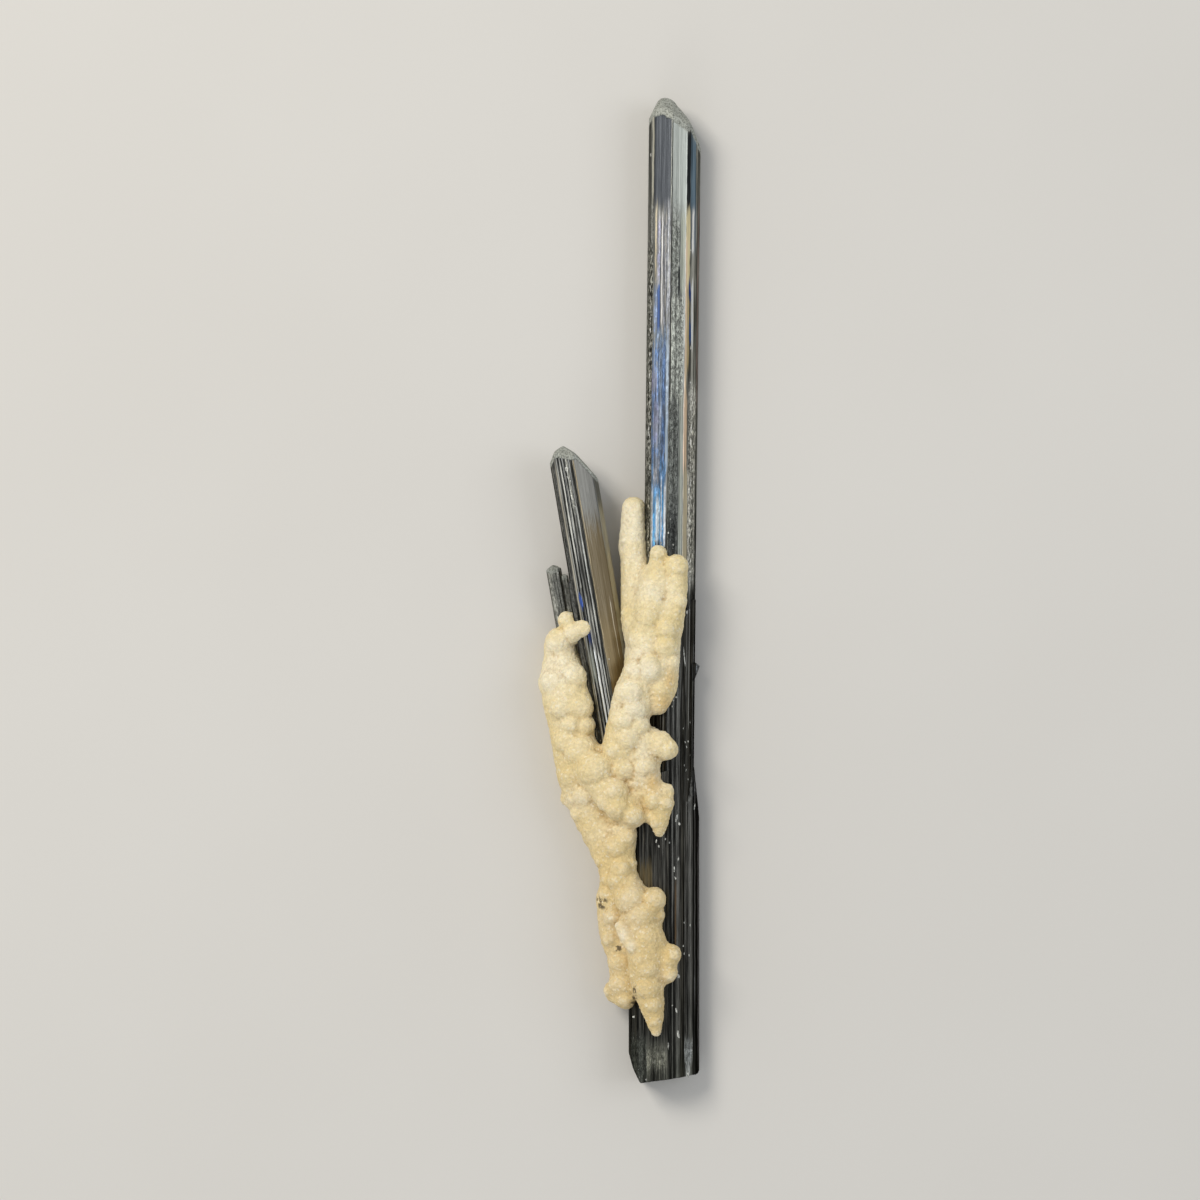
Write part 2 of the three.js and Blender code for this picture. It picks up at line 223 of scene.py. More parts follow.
class Shader:
    """Builds the nodes of one material."""

    def __init__(self, name: str) -> None:
        """Starts an empty material.

        Args:
            name: Its name.
        """
        self.material = bpy.data.materials.new(name)
        self.material.use_nodes = True
        self.tree = self.material.node_tree
        self.tree.nodes.clear()

    def feed(self, socket: Socket, value: object) -> None:
        """Links a socket to another one, or sets it.

        Args:
            socket: The input.
            value: An output socket, or a plain value.
        """
        if isinstance(value, Socket):
            self.tree.links.new(value, socket)
        else:
            socket.default_value = value

    def node(self, kind: str, **settings: object) -> bpy.types.Node:
        """Adds a node.

        Args:
            kind: The node's type, without its ShaderNode prefix.
            settings: Its properties.

        Returns:
            The node.
        """
        made = self.tree.nodes.new("ShaderNode" + kind)
        for key, value in settings.items():
            setattr(made, key, value)
        return made

    def attribute(self, name: str) -> Socket:
        """Returns a number that the mesh carries at each vertex."""
        return self.node("Attribute", attribute_type="GEOMETRY", attribute_name=name).outputs["Fac"]

    def maths(self, operation: str, a: object, b: object = 0.0) -> Socket:
        """Combines two numbers.

        Args:
            operation: The Math node's operation.
            a: The first number or socket.
            b: The second.

        Returns:
            The result.
        """
        made = self.node("Math", operation=operation)
        self.feed(made.inputs[0], a)
        self.feed(made.inputs[1], b)
        return made.outputs[0]

    def times(self, a: object, b: object) -> Socket:
        """Multiplies two numbers."""
        return self.maths("MULTIPLY", a, b)

    def plus(self, a: object, b: object) -> Socket:
        """Adds two numbers."""
        return self.maths("ADD", a, b)

    def span(self, value: object, low: float, high: float, start: float = 0.0, end: float = 1.0) -> Socket:
        """Maps a number smoothly from one range to another, held at both ends.

        Smooth steps hold themselves, so the node's own clamp stays off: with it, the long crystal's many
        bands take up more room than one material has.

        Args:
            value: The number.
            low: Where the result begins to change.
            high: Where it stops.
            start: The result below low.
            end: The result above high.

        Returns:
            The mapped number.
        """
        made = self.node("MapRange", interpolation_type="SMOOTHSTEP", clamp=False)
        numbers = {"Value": value, "From Min": low, "From Max": high, "To Min": start, "To Max": end}
        for key, number in numbers.items():
            self.feed(made.inputs[key], number)
        return made.outputs["Result"]

    def vector(self, x: object, y: object, z: object) -> Socket:
        """Joins three numbers to a vector.

        Args:
            x: The first.
            y: The second.
            z: The third.

        Returns:
            The vector.
        """
        made = self.node("CombineXYZ")
        for socket, value in zip(made.inputs, (x, y, z)):
            self.feed(socket, value)
        return made.outputs[0]

    def noise(self, vector: object, scale: float, detail: float = 3.0, roughness: float = 0.55) -> Socket:
        """Adds soft noise.

        Args:
            vector: Where to read it.
            scale: Its frequency.
            detail: How many finer layers it has.
            roughness: How strong they are.

        Returns:
            A number around 0.5.
        """
        made = self.node("TexNoise")
        values = {"Vector": vector, "Scale": scale, "Detail": detail, "Roughness": roughness}
        for key, value in values.items():
            self.feed(made.inputs[key], value)
        return made.outputs["Fac"]

    def cells(self, vector: object, scale: float, output: str = "Distance") -> Socket:
        """Adds a pattern of cells.

        Args:
            vector: Where to read it.
            scale: Its frequency.
            output: Distance from each cell's middle, or Color, which is random for each.

        Returns:
            The pattern.
        """
        made = self.node("TexVoronoi", feature="F1")
        self.feed(made.inputs["Vector"], vector)
        self.feed(made.inputs["Scale"], scale)
        return made.outputs[output]

    def mix(self, factor: object, a: object, b: object, blend: str = "MIX") -> Socket:
        """Mixes two colours.

        Args:
            factor: 0 for the first, 1 for the second.
            a: The first colour.
            b: The second colour.
            blend: How they mix.

        Returns:
            The mixed colour.
        """
        made = self.node("Mix", data_type="RGBA", blend_type=blend)
        for index, value in ((0, factor), (6, a), (7, b)):
            self.feed(made.inputs[index], value)
        return made.outputs[2]

    def ramp(self, factor: object, stops: tuple[tuple[float, str], ...]) -> Socket:
        """Adds a colour ramp.

        Args:
            factor: The number to read it at, from 0 to 1.
            stops: Each stop's place and colour code, in order.

        Returns:
            The colour.
        """
        made = self.node("ValToRGB")
        elements = made.color_ramp.elements
        while len(elements) < len(stops):
            elements.new(0.5)
        for element, (place, code) in zip(elements, stops):
            element.position = place
            element.color = linear(code)
        self.feed(made.inputs[0], factor)
        return made.outputs[0]

    def bump(self, height: object, distance_mm: float, strength: float, below: object = None) -> Socket:
        """Turns a height into a bent normal.

        Args:
            height: The height, from 0 to 1.
            distance_mm: How high 1 is, in millimetres.
            strength: How much of it shows.
            below: A normal that it is laid over, if any.

        Returns:
            The normal.
        """
        made = self.node("Bump")
        self.feed(made.inputs["Height"], height)
        made.inputs["Distance"].default_value = distance_mm * METRES
        made.inputs["Strength"].default_value = strength
        if below is not None:
            self.feed(made.inputs["Normal"], below)
        return made.outputs[0]

    def close(self, **values: object) -> Material:
        """Ends the material with its surface shader.

        Args:
            values: The shader's inputs, with underscores for spaces.

        Returns:
            The material.
        """
        surface = self.node("BsdfPrincipled")
        for key, value in values.items():
            self.feed(surface.inputs[key.replace("_", " ")], value)
        output = self.node("OutputMaterial")
        self.tree.links.new(surface.outputs[0], output.inputs[0])
        return self.material


class Grain(Enum):
    """How a band of a crystal's face is marked."""

    STREAKED = "streaked"
    WORN = "worn"
    PITTED = "pitted"
    SMOOTH = "smooth"
    CRACKED = "cracked"


@dataclass(frozen=True)
class Band:
    """A band of colour on a crystal's face, in millimetres across and along the crystal. The bands are partly
    tarnish and partly painted reflection, highlight and shade.
    """

    colour: str
    left: float
    right: float
    low: float
    high: float
    fade: float = 1.0
    grain: Grain = Grain.STREAKED
    strength: float = 0.92
    blur: float = 0.07


class CrystalShader(Shader):
    """Builds the nodes of a crystal's material, from its places and the patterns that lie over them."""

    def __init__(self, name: str) -> None:
        """Reads the numbers that the mesh carries and lays the patterns over them.

        Args:
            name: The material's name.
        """
        super().__init__(name)
        self.across, self.along = self.attribute("across"), self.attribute("along")
        self.depth, self.tone, self.frost = (self.attribute(key) for key in ("depth", "tone", "frost"))
        self.place = self.vector(self.across, self.along, self.depth)

        stretched = self.lengthwise(0.03)
        self.hairs = self.noise(stretched, 4.2, 4.0, 0.7)
        self.broad = self.noise(stretched, 1.6, 3.0)
        self.wisps = self.noise(self.lengthwise(0.14), 2.6, 4.0, 0.6)
        self.mottle = self.noise(self.lengthwise(0.4), 2.0, 5.0, 0.65)
        self.pits = self.cells(self.lengthwise(0.55), 2.6)
        self.grit = self.noise(self.lengthwise(0.35), 3.2, 4.0, 0.7)
        # The crackle runs from near-black painted shade in the cracks to near-white painted glints.
        shades = ((0.4, "#1C1C1B"), (0.47, "#6A6A66"), (0.54, "#9A9A94"), (0.6, "#ECECE6"))
        self.crackle = self.ramp(self.grit, shades)

        wave = self.times(self.maths("SUBTRACT", self.noise(self.place, 0.35, 2.0), 0.5), 0.25)
        self.wavy_across = self.plus(self.across, wave)
        torn = self.times(self.maths("SUBTRACT", self.hairs, 0.5), 9.0)
        self.torn_along = self.plus(self.along, torn)

    def lengthwise(self, share: float) -> Socket:
        """Returns the place with its length scaled down to a share, which draws a pattern out lengthwise."""
        return self.vector(self.across, self.times(self.along, share), self.depth)


@dataclass(frozen=True)
class StibniteFinish:
    """Metallic lead-grey stibnite: fine streaks lengthwise, bands that are partly tarnish and partly painted
    reflection, pits and frosted ends.

    The darks and lights are the two shades that the streaks alternate between, at places along the crystal.
    The streaks are partly the striations' own grain and partly painted reflection on their facets; where the
    shades darken towards the foot, that is painted reflection of dark surroundings.
    """

    name: str
    length: float
    darks: tuple[tuple[float, str], ...]
    lights: tuple[tuple[float, str], ...]
    bands: tuple[Band, ...] = ()
    frost_colour: str = "#B4B6AD"
    contrast: float = 0.35
    strips: float = 0.2

    def mask(self, shader: CrystalShader, band: Band) -> Socket:
        """Masks one band.

        Args:
            shader: The material's nodes.
            band: The band.

        Returns:
            The mask, from 0 to the band's strength.
        """
        edges = (
            shader.span(shader.wavy_across, band.left - band.blur, band.left + band.blur),
            shader.span(shader.wavy_across, band.right - band.blur, band.right + band.blur, 1.0, 0.0),
            shader.span(shader.torn_along, band.low - band.fade, band.low + band.fade),
            shader.span(shader.torn_along, band.high - band.fade, band.high + band.fade, band.strength, 0.0),
        )
        mask = edges[0]
        for edge in edges[1:]:
            mask = shader.times(mask, edge)
        return mask

    def streaked(self, shader: CrystalShader) -> tuple[Socket, Socket]:
        """Paints the streaks.

        Args:
            shader: The material's nodes.

        Returns:
            The colour, and how light the streaks are.
        """
        # Dark and light streaks: partly the striations' grain, partly painted reflection on their facets.
        streak = shader.plus(shader.times(shader.tone, self.strips), shader.times(shader.hairs, 0.6))
        streak = shader.plus(streak, shader.times(shader.broad, 0.4 - self.strips))
        share = shader.maths("DIVIDE", shader.along, self.length)
        dark, light = (
            shader.ramp(share, tuple((at / self.length, code) for at, code in shades))
            for shades in (self.darks, self.lights)
        )
        return shader.mix(shader.span(streak, 0.36, 0.76), dark, light), streak

    def banded(self, shader: CrystalShader, colour: Socket) -> tuple[Socket, dict[Grain, object]]:
        """Paints the bands over the streaks.

        Args:
            shader: The material's nodes.
            colour: The streaks.

        Returns:
            The colour, and where the pitted, the smooth and the worn bands are.
        """
        thinned = shader.span(shader.wisps, 0.42, 0.56, 0.3, 1.0)
        marked: dict[Grain, object] = {Grain.PITTED: 0.0, Grain.SMOOTH: 0.0, Grain.WORN: 0.0}
        for band in self.bands:
            mask = self.mask(shader, band)
            if band.grain is Grain.WORN:
                mask = shader.times(mask, thinned)
            paint = linear(band.colour)
            if band.grain is Grain.CRACKED:
                paint = shader.mix(1.0, shader.crackle, paint, "MULTIPLY")
                mask = shader.times(mask, shader.span(shader.depth, 4.0, 5.8, 0.1, 1.0))
            colour = shader.mix(mask, colour, paint)
            if band.grain in marked:
                marked[band.grain] = shader.maths("MAXIMUM", marked[band.grain], mask)
        return colour, marked

    def weathered(
        self, shader: CrystalShader, colour: Socket, streak: Socket, marked: dict[Grain, object]
    ) -> Socket:
        """Gives the bands their contrast, rough spots and glints: painted reflection on the streaks, painted
        shade in the pits with painted glints on the grains, and painted highlights.

        Args:
            shader: The material's nodes.
            colour: The streaks and bands.
            streak: How light the streaks are.
            marked: Where the bands of each grain are.

        Returns:
            The colour.
        """
        # The streaks' contrast, deepened in the colour: painted reflection on the striations.
        relief = shader.span(streak, 0.38, 0.62, 1.0 - self.contrast, 1.0 + self.contrast)
        calm = shader.times(marked[Grain.SMOOTH], 0.6)
        colour = shader.mix(shader.maths("SUBTRACT", 1.0, calm), colour, relief, "MULTIPLY")
        # Rough spots of the pitted bands: thin dark lines of painted shade in the pits, and grains lightened
        # up to 1.65 times as painted glints.
        ridges = shader.maths("ABSOLUTE", shader.maths("SUBTRACT", shader.mottle, 0.47))
        pit_shade = shader.span(ridges, 0.005, 0.045, 0.3, 1.0)
        grains = shader.span(shader.grit, 0.4, 0.6, 0.62, 1.65)
        rough = shader.mix(1.0, colour, shader.times(pit_shade, grains), "MULTIPLY")
        colour = shader.mix(marked[Grain.PITTED], colour, rough)
        scuffed = shader.mix(1.0, colour, shader.span(shader.grit, 0.4, 0.62, 0.66, 1.5), "MULTIPLY")
        colour = shader.mix(shader.times(marked[Grain.WORN], 0.85), colour, scuffed)
        # Painted glints: near-white specks, most of them on the pitted bands.
        glints = shader.times(shader.span(shader.pits, 0.16, 0.07), shader.span(shader.mottle, 0.52, 0.6))
        glints = shader.times(glints, shader.plus(shader.times(marked[Grain.PITTED], 0.8), 0.12))
        return shader.mix(glints, colour, linear("#E6E6E0"))

    def material(self) -> Material:
        """Builds the material.

        Returns:
            The material.
        """
        shader = CrystalShader(self.name)
        colour, streak = self.streaked(shader)
        colour, marked = self.banded(shader, colour)
        colour = self.weathered(shader, colour, streak, marked)

        sugar = shader.noise(shader.place, 3.4, 4.0, 0.7)
        frosted = shader.mix(shader.span(sugar, 0.36, 0.56), linear("#6E7068"), linear(self.frost_colour))
        icing = shader.span(shader.plus(shader.frost, shader.times(shader.mottle, 0.5)), 0.62, 0.8)
        colour = shader.mix(icing, colour, frosted)

        coarse = shader.maths("MAXIMUM", icing, shader.times(marked[Grain.PITTED], 0.6))
        roughness = shader.plus(shader.span(shader.hairs, 0.3, 0.7, 0.3, 0.42), shader.times(coarse, 0.25))
        metallic = shader.span(icing, 0.0, 1.0, 1.0, 0.35)
        normal = shader.bump(shader.hairs, 0.05, 0.4)
        normal = shader.bump(shader.times(shader.mottle, coarse), 0.3, 0.5, normal)
        return shader.close(
            Base_Color=colour,
            Roughness=roughness,
            Metallic=metallic,
            Normal=normal,
            Specular_Tint=linear("#8C8C8A"),
        )


@dataclass(frozen=True)
class CalciteFinish:
    """Cream calcite of fine sugary grains, with painted tan shade in its creases, painted highlights on its
    crowns and painted sparkle on a few grains.
    """

    name: str = "Calcite"
    body: tuple[str, ...] = ("#E8D49F", "#EEDDB0", "#F3E7C6")
    crease_shade_colour: str = "#AE8B50"

    def material(self) -> Material:
        """Builds the material.

        Returns:
            The material.
        """
        shader = Shader(self.name)
        place = shader.node("TexCoord").outputs["Object"]
        crease = shader.attribute("crease")
        patches = shader.noise(place, 110.0, 3.0, 0.5)
        colour = shader.ramp(patches, tuple(zip((0.36, 0.5, 0.64), self.body)))
        height = shader.node("SeparateXYZ")
        shader.feed(height.inputs[0], place)
        along = shader.span(height.outputs["Y"], -0.075, 0.0)
        colour = shader.mix(shader.span(along, 0.0, 1.0, 0.6, 0.0), colour, linear("#D6B97E"))

        # Painted shade: the creases darken to tan.
        torn = shader.plus(crease, shader.times(shader.maths("SUBTRACT", patches, 0.5), 0.5))
        colour = shader.mix(shader.span(torn, 0.0, 0.34, 0.0, 0.85), colour, linear(self.crease_shade_colour))
        # Painted highlight: the crowns lighten towards cream white.
        crown_highlight = shader.span(crease, -0.05, -0.35, 0.0, 0.5)
        colour = shader.mix(crown_highlight, colour, linear("#F6EED6"))
        honey = shader.times(shader.attribute("honey"), shader.span(patches, 0.3, 0.6, 0.5, 0.85))
        colour = shader.mix(honey, colour, linear("#DDBA7A"))
        colour = shader.mix(shader.times(shader.attribute("pale"), 0.5), colour, linear("#F4ECD5"))

        grains = shader.cells(place, 2900.0, "Color")
        split = shader.node("SeparateColor")
        shader.feed(split.inputs[0], grains)
        grain = shader.span(split.outputs[0], 0.0, 1.0, 0.92, 1.05)
        colour = shader.mix(1.0, colour, grain, "MULTIPLY")
        # Painted sparkle: a few grains lighten towards white.
        colour = shader.mix(shader.span(split.outputs[2], 0.88, 1.0, 0.0, 0.35), colour, linear("#FFFBEC"))
        fine = shader.noise(place, 1500.0, 3.0, 0.65)
        colour = shader.mix(1.0, colour, shader.span(fine, 0.3, 0.7, 0.93, 1.06), "MULTIPLY")

        threads = shader.span(shader.noise(place, 1100.0, 4.0, 0.6), 0.46, 0.56)
        dirt = shader.span(shader.times(shader.attribute("dirt"), threads), 0.15, 0.6, 0.0, 0.85)
        colour = shader.mix(dirt, colour, linear("#4A3F2E"))

        facets = shader.cells(place, 2900.0)
        normal = shader.bump(facets, 0.14, 0.45)
        normal = shader.bump(fine, 0.22, 0.42, normal)
        normal = shader.bump(shader.noise(place, 520.0, 4.0, 0.6), 0.45, 0.35, normal)
        roughness = shader.span(split.outputs[1], 0.8, 1.0, 0.72, 0.38)
        return shader.close(
            Base_Color=colour,
            Roughness=roughness,
            Normal=normal,
            Subsurface_Weight=0.12,
            Subsurface_Radius=(0.0012, 0.0009, 0.0005),
            Specular_IOR_Level=0.3,
        )


@dataclass(frozen=True)
class Cut:
    """A plane that ends a crystal, with its normal pointing out of it."""

    point: Point
    normal: Point

    def height(self, x: np.ndarray, z: np.ndarray) -> np.ndarray:
        """Finds where the plane lies along the crystal.

        Args:
            x: Places across the crystal.
            z: Their depths.

        Returns:
            The plane's y at each place.
        """
        (px, py, pz), (nx, ny, nz) = self.point, self.normal
        return py - (nx * (x - px) + nz * (z - pz)) / ny


@dataclass(frozen=True)
class Growth:
    """The growth terraces on one side of a crystal: strips that run lengthwise, each at its own depth.

    A strip is from narrow to wide across and sinks no more than depth. Ribbed strips are high and low by
    turns. Each runs on for a length between the two runs, and then steps up or down over a riser. From
    calm_above along the crystal, strips sink only the calm share as deep.
    """

    narrow: float = 0.25
    wide: float = 0.9
    depth: float = 0.15
    ribbed: bool = False
    calm_above: float = 1000.0
    calm_share: float = 0.4
    calm_fade: float = 12.0
    runs: tuple[float, float] = (9.0, 55.0)
    riser: float = 0.7
    low_rib: float = 0.8


@dataclass(frozen=True)
class Ends:
    """A crystal's two ends: where its shaft stops, the planes that cut it and how rough they are."""

    low: float
    high: float
    cuts: tuple[Cut, ...] = ()
    peak: tuple[float, float] | None = None
    roughness: float = 0.12
    rounding: float = 0.12

    def heights(self, x: np.ndarray, z: np.ndarray, upper: bool) -> np.ndarray:
        """Finds the end face over a section.

        Args:
            x: Places across the crystal.
            z: Their depths.
            upper: True for the tip, False for the foot.

        Returns:
            The end face's y at each place.
        """
        flat = np.full(x.shape, self.high if upper else self.low, float)
        faces = [flat] + [cut.height(x, z) for cut in self.cuts if (cut.normal[1] > 0) == upper]
        turn = -1.0 if upper else 1.0
        inner = turn * np.max([turn * face for face in faces], axis=0)
        blend = sum(np.exp(np.clip(turn * (face - inner) / self.rounding, -50, 0)) for face in faces)
        return inner + turn * self.rounding * np.log(blend)


@dataclass
class Prism:
    """One striated prism: an outline drawn along y, cut to facets at its ends."""

    outline: Outline
    ends: Ends
    growth: tuple[Growth, ...]
    seed: int
    lean: float = 0.0
    lean_start: float = 0.0
    column_pitch: float = 0.12
    row_pitch: float = 0.8
    cap_rings: int = 24
    frost_depth: float = 1.3
    frosted: bool = True
    overhang: float = 5.0

    def columns(self) -> tuple[np.ndarray, np.ndarray, np.ndarray, np.ndarray]:
        """Spreads columns of vertices round the outline.

        Returns:
            Each column's place, its inward direction, its side of the outline and its place along that side.
        """
        spots, inwards, sides, along = [], [], [], []
        corners = [np.array(corner) for corner in self.outline]
        for side, corner in enumerate(corners):
            reach = corners[(side + 1) % len(corners)] - corner
            length = float(np.hypot(*reach))
            steps = max(2, round(length / self.column_pitch))
            for step in range(steps):
                share = step / steps
                spots.append(corner + reach * share)
                inwards.append(np.array((reach[1], -reach[0])) / length)
                sides.append(side)
                along.append(share * length)
        places_now = np.array(spots)
        rounded = (np.roll(places_now, 1, 0) + 2 * places_now + np.roll(places_now, -1, 0)) / 4
        close = [np.array(values) for values in (rounded, inwards, sides, along)]
        return tuple(np.concatenate((values, values[:1])) for values in close)

    def terraces(self, y: np.ndarray, sides: np.ndarray, along: np.ndarray) -> tuple[np.ndarray, np.ndarray]:
        """Sets the strips' depths, which change in small steps along the crystal.

        Args:
            y: The vertices' places along the crystal, one row a level and one column a column of vertices.
            sides: Each column's side of the outline.
            along: Its place along that side.

        Returns:
            How far each vertex is sunk, and its strip's tone from 0 to 1.
        """
        source = random.Random(self.seed)
        sunk, tone = np.zeros_like(y), np.zeros_like(y)
        for side in range(len(self.outline)):
            growth = self.growth[side % len(self.growth)]
            members = np.flatnonzero(sides == side)
            edge, strip = 0.0, 0
            reach = float(along[members].max()) + self.column_pitch
            while edge < reach:
                width = source.uniform(growth.narrow, growth.wide)
                inside = members[(along[members] >= edge) & (along[members] < edge + width)]
                knots, depths, tones = self.steps(source, growth, strip)
                calming = (growth.calm_above - growth.calm_fade, growth.calm_above)
                for column in inside:
                    calm = np.interp(y[:, column], calming, (1, growth.calm_share))
                    sunk[:, column] = np.interp(y[:, column], knots, depths) * calm
                    tone[:, column] = np.interp(y[:, column], knots, tones)
                edge += width
                strip += 1
        return sunk, tone

    def steps(self, source: random.Random, growth: Growth, strip: int) -> tuple[list, list, list]:
        """Draws one strip's steps.

        Args:
            source: The source of chance.
            growth: How the side grew.
            strip: The strip's number on its side.

        Returns:
            The places of the steps, and the depth and the tone at each.
        """
        knots, depths, tones = [], [], []
        at = self.ends.low - self.overhang
        low = strip % 2
        ground = low * growth.depth * growth.low_rib if growth.ribbed else source.uniform(0, growth.depth)
        shade = low * growth.low_rib if growth.ribbed else source.random()
        while at < self.ends.high + self.overhang:
            run = source.uniform(*growth.runs)
            depth = min(growth.depth, max(0.0, ground + source.uniform(-0.3, 0.3) * growth.depth))
            level = min(1.0, max(0.0, shade + source.uniform(-0.25, 0.25)))
            knots += [at, at + run - growth.riser]
            depths += [depth, depth]
            tones += [level, level]
            at += run
        return knots, depths, tones

    def leaned(self, x: np.ndarray, y: np.ndarray) -> np.ndarray:
        """Returns x after the crystal's slight lean to the right."""
        return x + self.lean * np.maximum(0, y - self.lean_start)

    def end_heights(self, x: np.ndarray, z: np.ndarray, upper: bool) -> np.ndarray:
        """Finds an end face over the unleaned section, with its small pits.

        Args:
            x: Places across, before the lean.
            z: Their depths.
            upper: True for the tip, False for the foot.

        Returns:
            The face's y at each place.
        """
        y = np.full(x.shape, self.ends.high if upper else self.ends.low, float)
        for _ in range(5):
            y = self.ends.heights(self.leaned(x, y), z, upper)
        spots = np.stack((x, z, np.full(x.shape, self.seed * 3.7)), -1).reshape(-1, 3)
        pits = [
            noise.fractal(Vector(spot) * 1.6, 0.7, 2.0, 3) + abs(noise.noise(Vector(spot) * 0.6))
            for spot in spots
        ]
        pits = np.clip(np.array(pits).reshape(x.shape), 0, None) * self.ends.roughness
        return y - pits if upper else y + pits

    def mesh(self, name: str) -> Mesh:
        """Wraps a grid round the prism: a foot in rings, the shaft in rows and a tip in rings.

        Args:
            name: The mesh's name.

        Returns:
            The closed mesh, which carries its places, tones and frost at each vertex.
        """
        spots, inwards, sides, along = self.columns()
        x, z = spots[:, 0], spots[:, 1]
        low, high = self.end_heights(x, z, False), self.end_heights(x, z, True)
        high = np.maximum(high, low + 0.02)
        length = self.ends.high - self.ends.low
        rows = max(4, round(length / self.row_pitch))
        # Six close rows in the last two millimetres carry the frost's edge.
        near_tip = np.linspace(0, 1, 7)[1:] * min(0.3, 2.0 / length)
        shares = np.concatenate((np.linspace(0, 1 - near_tip[-1], rows), 1 - near_tip[-1] + near_tip))
        y = low + (high - low) * shares[:, None]
        sunk, tone = self.terraces(y, sides, along)
        flat_x, flat_z = x + inwards[:, 0] * sunk, z + inwards[:, 1] * sunk
        frost = np.clip(1 - (high - y) / self.frost_depth, 0, 1)

        tip, foot = self.cap(flat_x[-1], flat_z[-1], True), self.cap(flat_x[0], flat_z[0], False)
        tip[1][0], foot[1][-1] = y[-1], y[0]
        joined_x = np.concatenate((foot[0][:-1], flat_x, tip[0][1:]))
        joined_y = np.concatenate((foot[1][:-1], y, tip[1][1:]))
        joined_z = np.concatenate((foot[2][:-1], flat_z, tip[2][1:]))
        rings = self.cap_rings
        bare = np.zeros((rings, len(x)))
        values = {
            "across": joined_x,
            "along": joined_y,
            "depth": joined_z,
            "tone": np.concatenate((tone[:1].repeat(rings, 0), tone, tone[-1:].repeat(rings, 0))),
            "frost": np.concatenate((bare, frost, bare + 1)) * self.frosted,
        }
        return wrapped(name, np.stack((self.leaned(joined_x, joined_y), joined_y, joined_z), -1), values)

    def cap(self, x: np.ndarray, z: np.ndarray, upper: bool) -> tuple[np.ndarray, np.ndarray, np.ndarray]:
        """Closes an end with rings that shrink to its peak or its middle.

        Args:
            x: The rim's places across.
            z: The rim's depths.
            upper: True for the tip, whose rings go inwards, False for the foot, whose rings go outwards.

        Returns:
            The rings' x, y and z.
        """
        middle = np.array((x.mean(), z.mean()))
        if upper and self.ends.peak:
            middle = np.array(self.ends.peak)
        shares = np.linspace(1, 0, self.cap_rings + 1)[:, None]
        ring_x, ring_z = middle[0] + (x - middle[0]) * shares, middle[1] + (z - middle[1]) * shares
        ring_y = self.end_heights(ring_x, ring_z, upper)
        rings = (ring_x, ring_y, ring_z)
        return rings if upper else tuple(ring[::-1].copy() for ring in rings)


def wrapped(name: str, positions: np.ndarray, values: dict[str, np.ndarray]) -> Mesh:
    """Wraps a flat grid to a closed shell, whose seam and poles are merged.

    Args:
        name: The mesh's name.
        positions: A place for each level and column of the grid.
        values: Numbers to keep at each vertex, by name.

    Returns:
        The closed mesh.
    """
    levels, columns = positions.shape[0] - 1, positions.shape[1] - 1
    shell = bmesh.new()
    bmesh.ops.create_grid(shell, x_segments=columns, y_segments=levels, size=1)
    mesh = settled(shell, bpy.data.meshes.new(name))
    spots = places(mesh)
    column = np.rint((spots[:, 0] + 1) / 2 * columns).astype(int)
    level = np.rint((spots[:, 1] + 1) / 2 * levels).astype(int)
    mesh.vertices.foreach_set("co", positions[level, column].astype(np.float32).ravel())
    noted(mesh, {key: grid[level, column] for key, grid in values.items()})
    shell = bmesh.new()
    shell.from_mesh(mesh)
    bmesh.ops.remove_doubles(shell, verts=shell.verts, dist=MERGE)
    bmesh.ops.recalc_face_normals(shell, faces=shell.faces)
    return settled(shell, mesh)


def gathered(name: str, meshes: list[Mesh]) -> Mesh:
    """Puts several meshes in one.

    Args:
        name: The new mesh's name.
        meshes: The meshes, which are deleted.

    Returns:
        The new mesh.
    """
    whole = bmesh.new()
    for mesh in meshes:
        whole.from_mesh(mesh)
        bpy.data.meshes.remove(mesh)
    return settled(whole, bpy.data.meshes.new(name))


